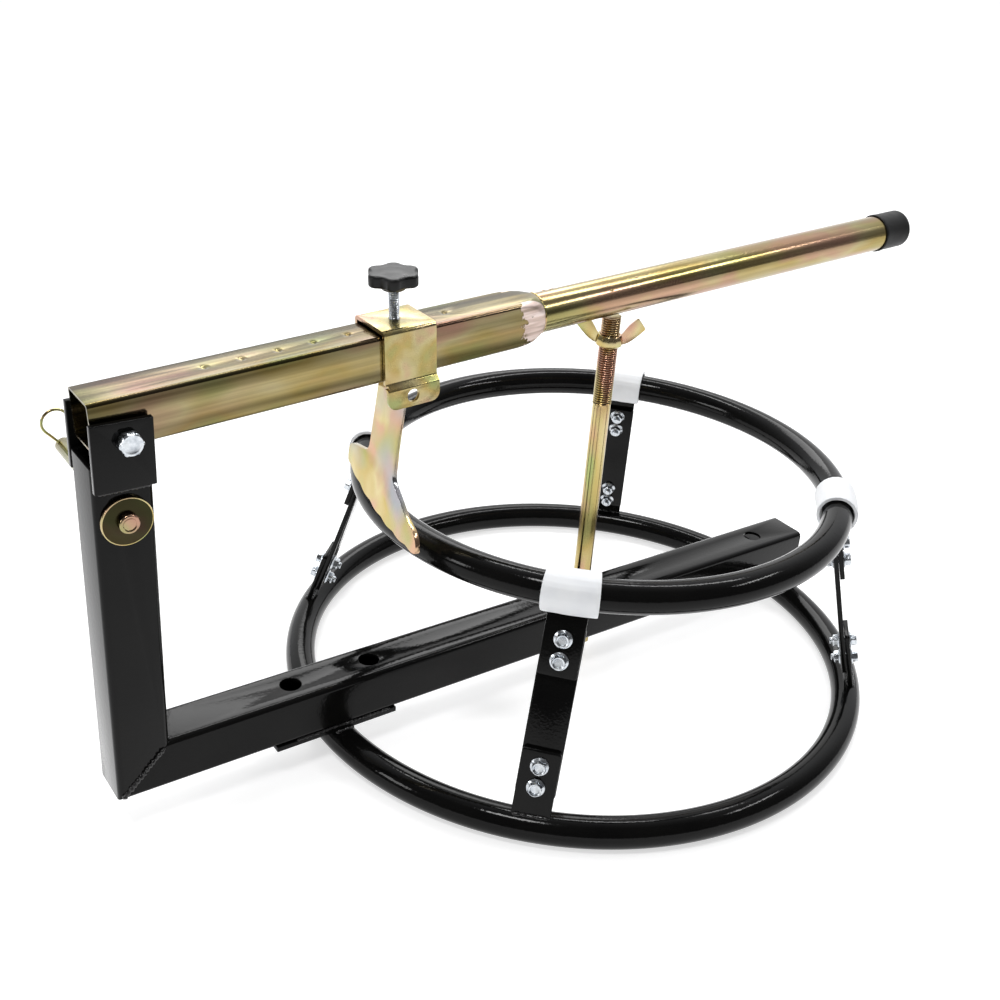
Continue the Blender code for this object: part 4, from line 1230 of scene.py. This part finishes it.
def build_stage():
    """Pale floor that glows a little, under a sky that is bright on one side only."""
    slab = box((-FLOOR_HALF, -FLOOR_HALF, -FLOOR_DEEP), (FLOOR_HALF, FLOOR_HALF, 0.0))
    floor = mesh_object("floor", slab)
    material, tree, shader = surface("pale_floor", 0.75)
    cloud = pattern(tree, 1.2, detail=2)
    connect(tree, shader, Base_Color=ramp(tree, cloud, (0.3, grey(0.60)), (0.7, grey(0.64))))
    shader.inputs["Emission Color"].default_value = (1, 1, 1, 1)
    shader.inputs["Emission Strength"].default_value = 0.62
    floor.data.materials.append(material)
    floor.location.z = -FLOOR_DROP

    world = bpy.data.worlds.new("studio")
    bpy.context.scene.world = world
    world.use_nodes = True
    tree = world.node_tree
    background = tree.nodes["Background"]
    coords = tree.nodes.new("ShaderNodeTexCoord")
    toward = tree.nodes.new("ShaderNodeVectorMath")
    toward.operation = "DOT_PRODUCT"
    tree.links.new(coords.outputs["Generated"], toward.inputs[0])
    toward.inputs[1].default_value = SUN_SIDE
    glow = span(tree, toward.outputs["Value"], 0, 1, -1, 1)
    colour = ramp(tree, glow, (0.0, (0.06, 0.06, 0.062)), (0.55, (0.10, 0.10, 0.102)),
                  (0.72, (0.32, 0.32, 0.33)), (0.90, (0.85, 0.86, 0.88)), (1.0, grey(1.0)))
    tree.links.new(colour, background.inputs["Color"])
    background.inputs["Strength"].default_value = 1.45


def softbox(name, place, aim, width, height, power):
    lamp = bpy.data.lights.new(name, "AREA")
    lamp.shape = "RECTANGLE"
    lamp.size = width
    lamp.size_y = height
    lamp.energy = power
    item = place_object(name, lamp)
    item.location = place
    item.rotation_euler = (Vector(aim) - Vector(place)).to_track_quat("-Z", "Y").to_euler()


def build_lights():
    softbox("key_softbox", (-0.9, -0.5, 2.1), (0, 0, 0.15), 0.55, 0.35, 16)
    softbox("back_softbox", (0.9, 1.9, 1.9), (0, 0, 0.2), 1.6, 0.8, 18)
    softbox("front_strip", (1.35, -1.15, 1.85), (0, 0, 0.15), 0.9, 0.1, 8)
    softbox("top_strip", (0.6, 0.5, 2.1), (0.1, -0.1, 0.2), 1.9, 0.16, 18)
    softbox("left_softbox", (-2.3, 0.4, 0.9), (-0.1, 0, 0.2), 0.7, 0.5, 10)


CAMERA_YAW, CAMERA_PITCH, CAMERA_ROLL = 0.9023483, -0.4793706, 0.0925402
CAMERA_STAND = Vector((-0.648143, -0.740877, 0.661995))


def build_camera():
    """Camera that stands off from the lower ring's centre, turned by yaw, pitch and roll in radians."""
    level = math.cos(CAMERA_PITCH)
    forward = Vector((math.cos(CAMERA_YAW) * level, math.sin(CAMERA_YAW) * level, math.sin(CAMERA_PITCH)))
    right = forward.cross(Z).normalized()
    up = right.cross(forward)
    rolled_right = right * math.cos(CAMERA_ROLL) + up * math.sin(CAMERA_ROLL)
    rolled_up = up * math.cos(CAMERA_ROLL) - right * math.sin(CAMERA_ROLL)
    data = bpy.data.cameras.new("camera")
    data.lens = 45.744
    data.shift_x = -0.03385
    data.shift_y = -0.00466
    axes = frame_of(LOWER_CENTRE + CAMERA_STAND, rolled_right, rolled_up, -forward)
    bpy.context.scene.camera = place_object("camera", data, axes)


def build_object():
    ring_piece("lower_ring", LOWER_CENTRE, LOWER_RADIUS, TUBE)
    ring_piece("upper_ring", UPPER_CENTRE, UPPER_RADIUS, UPPER_TUBE)
    for index, name in enumerate(STRAP_NAMES):
        build_strap(name, index)
        build_rim_clip(name)
    build_bolts()
    build_frame()
    build_lever()
    build_handle()
    build_cap()
    build_clamp(build_slider())
    build_blade()
    build_post()
    build_wing_nut()
    build_hitch()


build_object()
build_stage()
build_lights()
build_camera()
bpy.context.scene.view_settings.view_transform = "Standard"
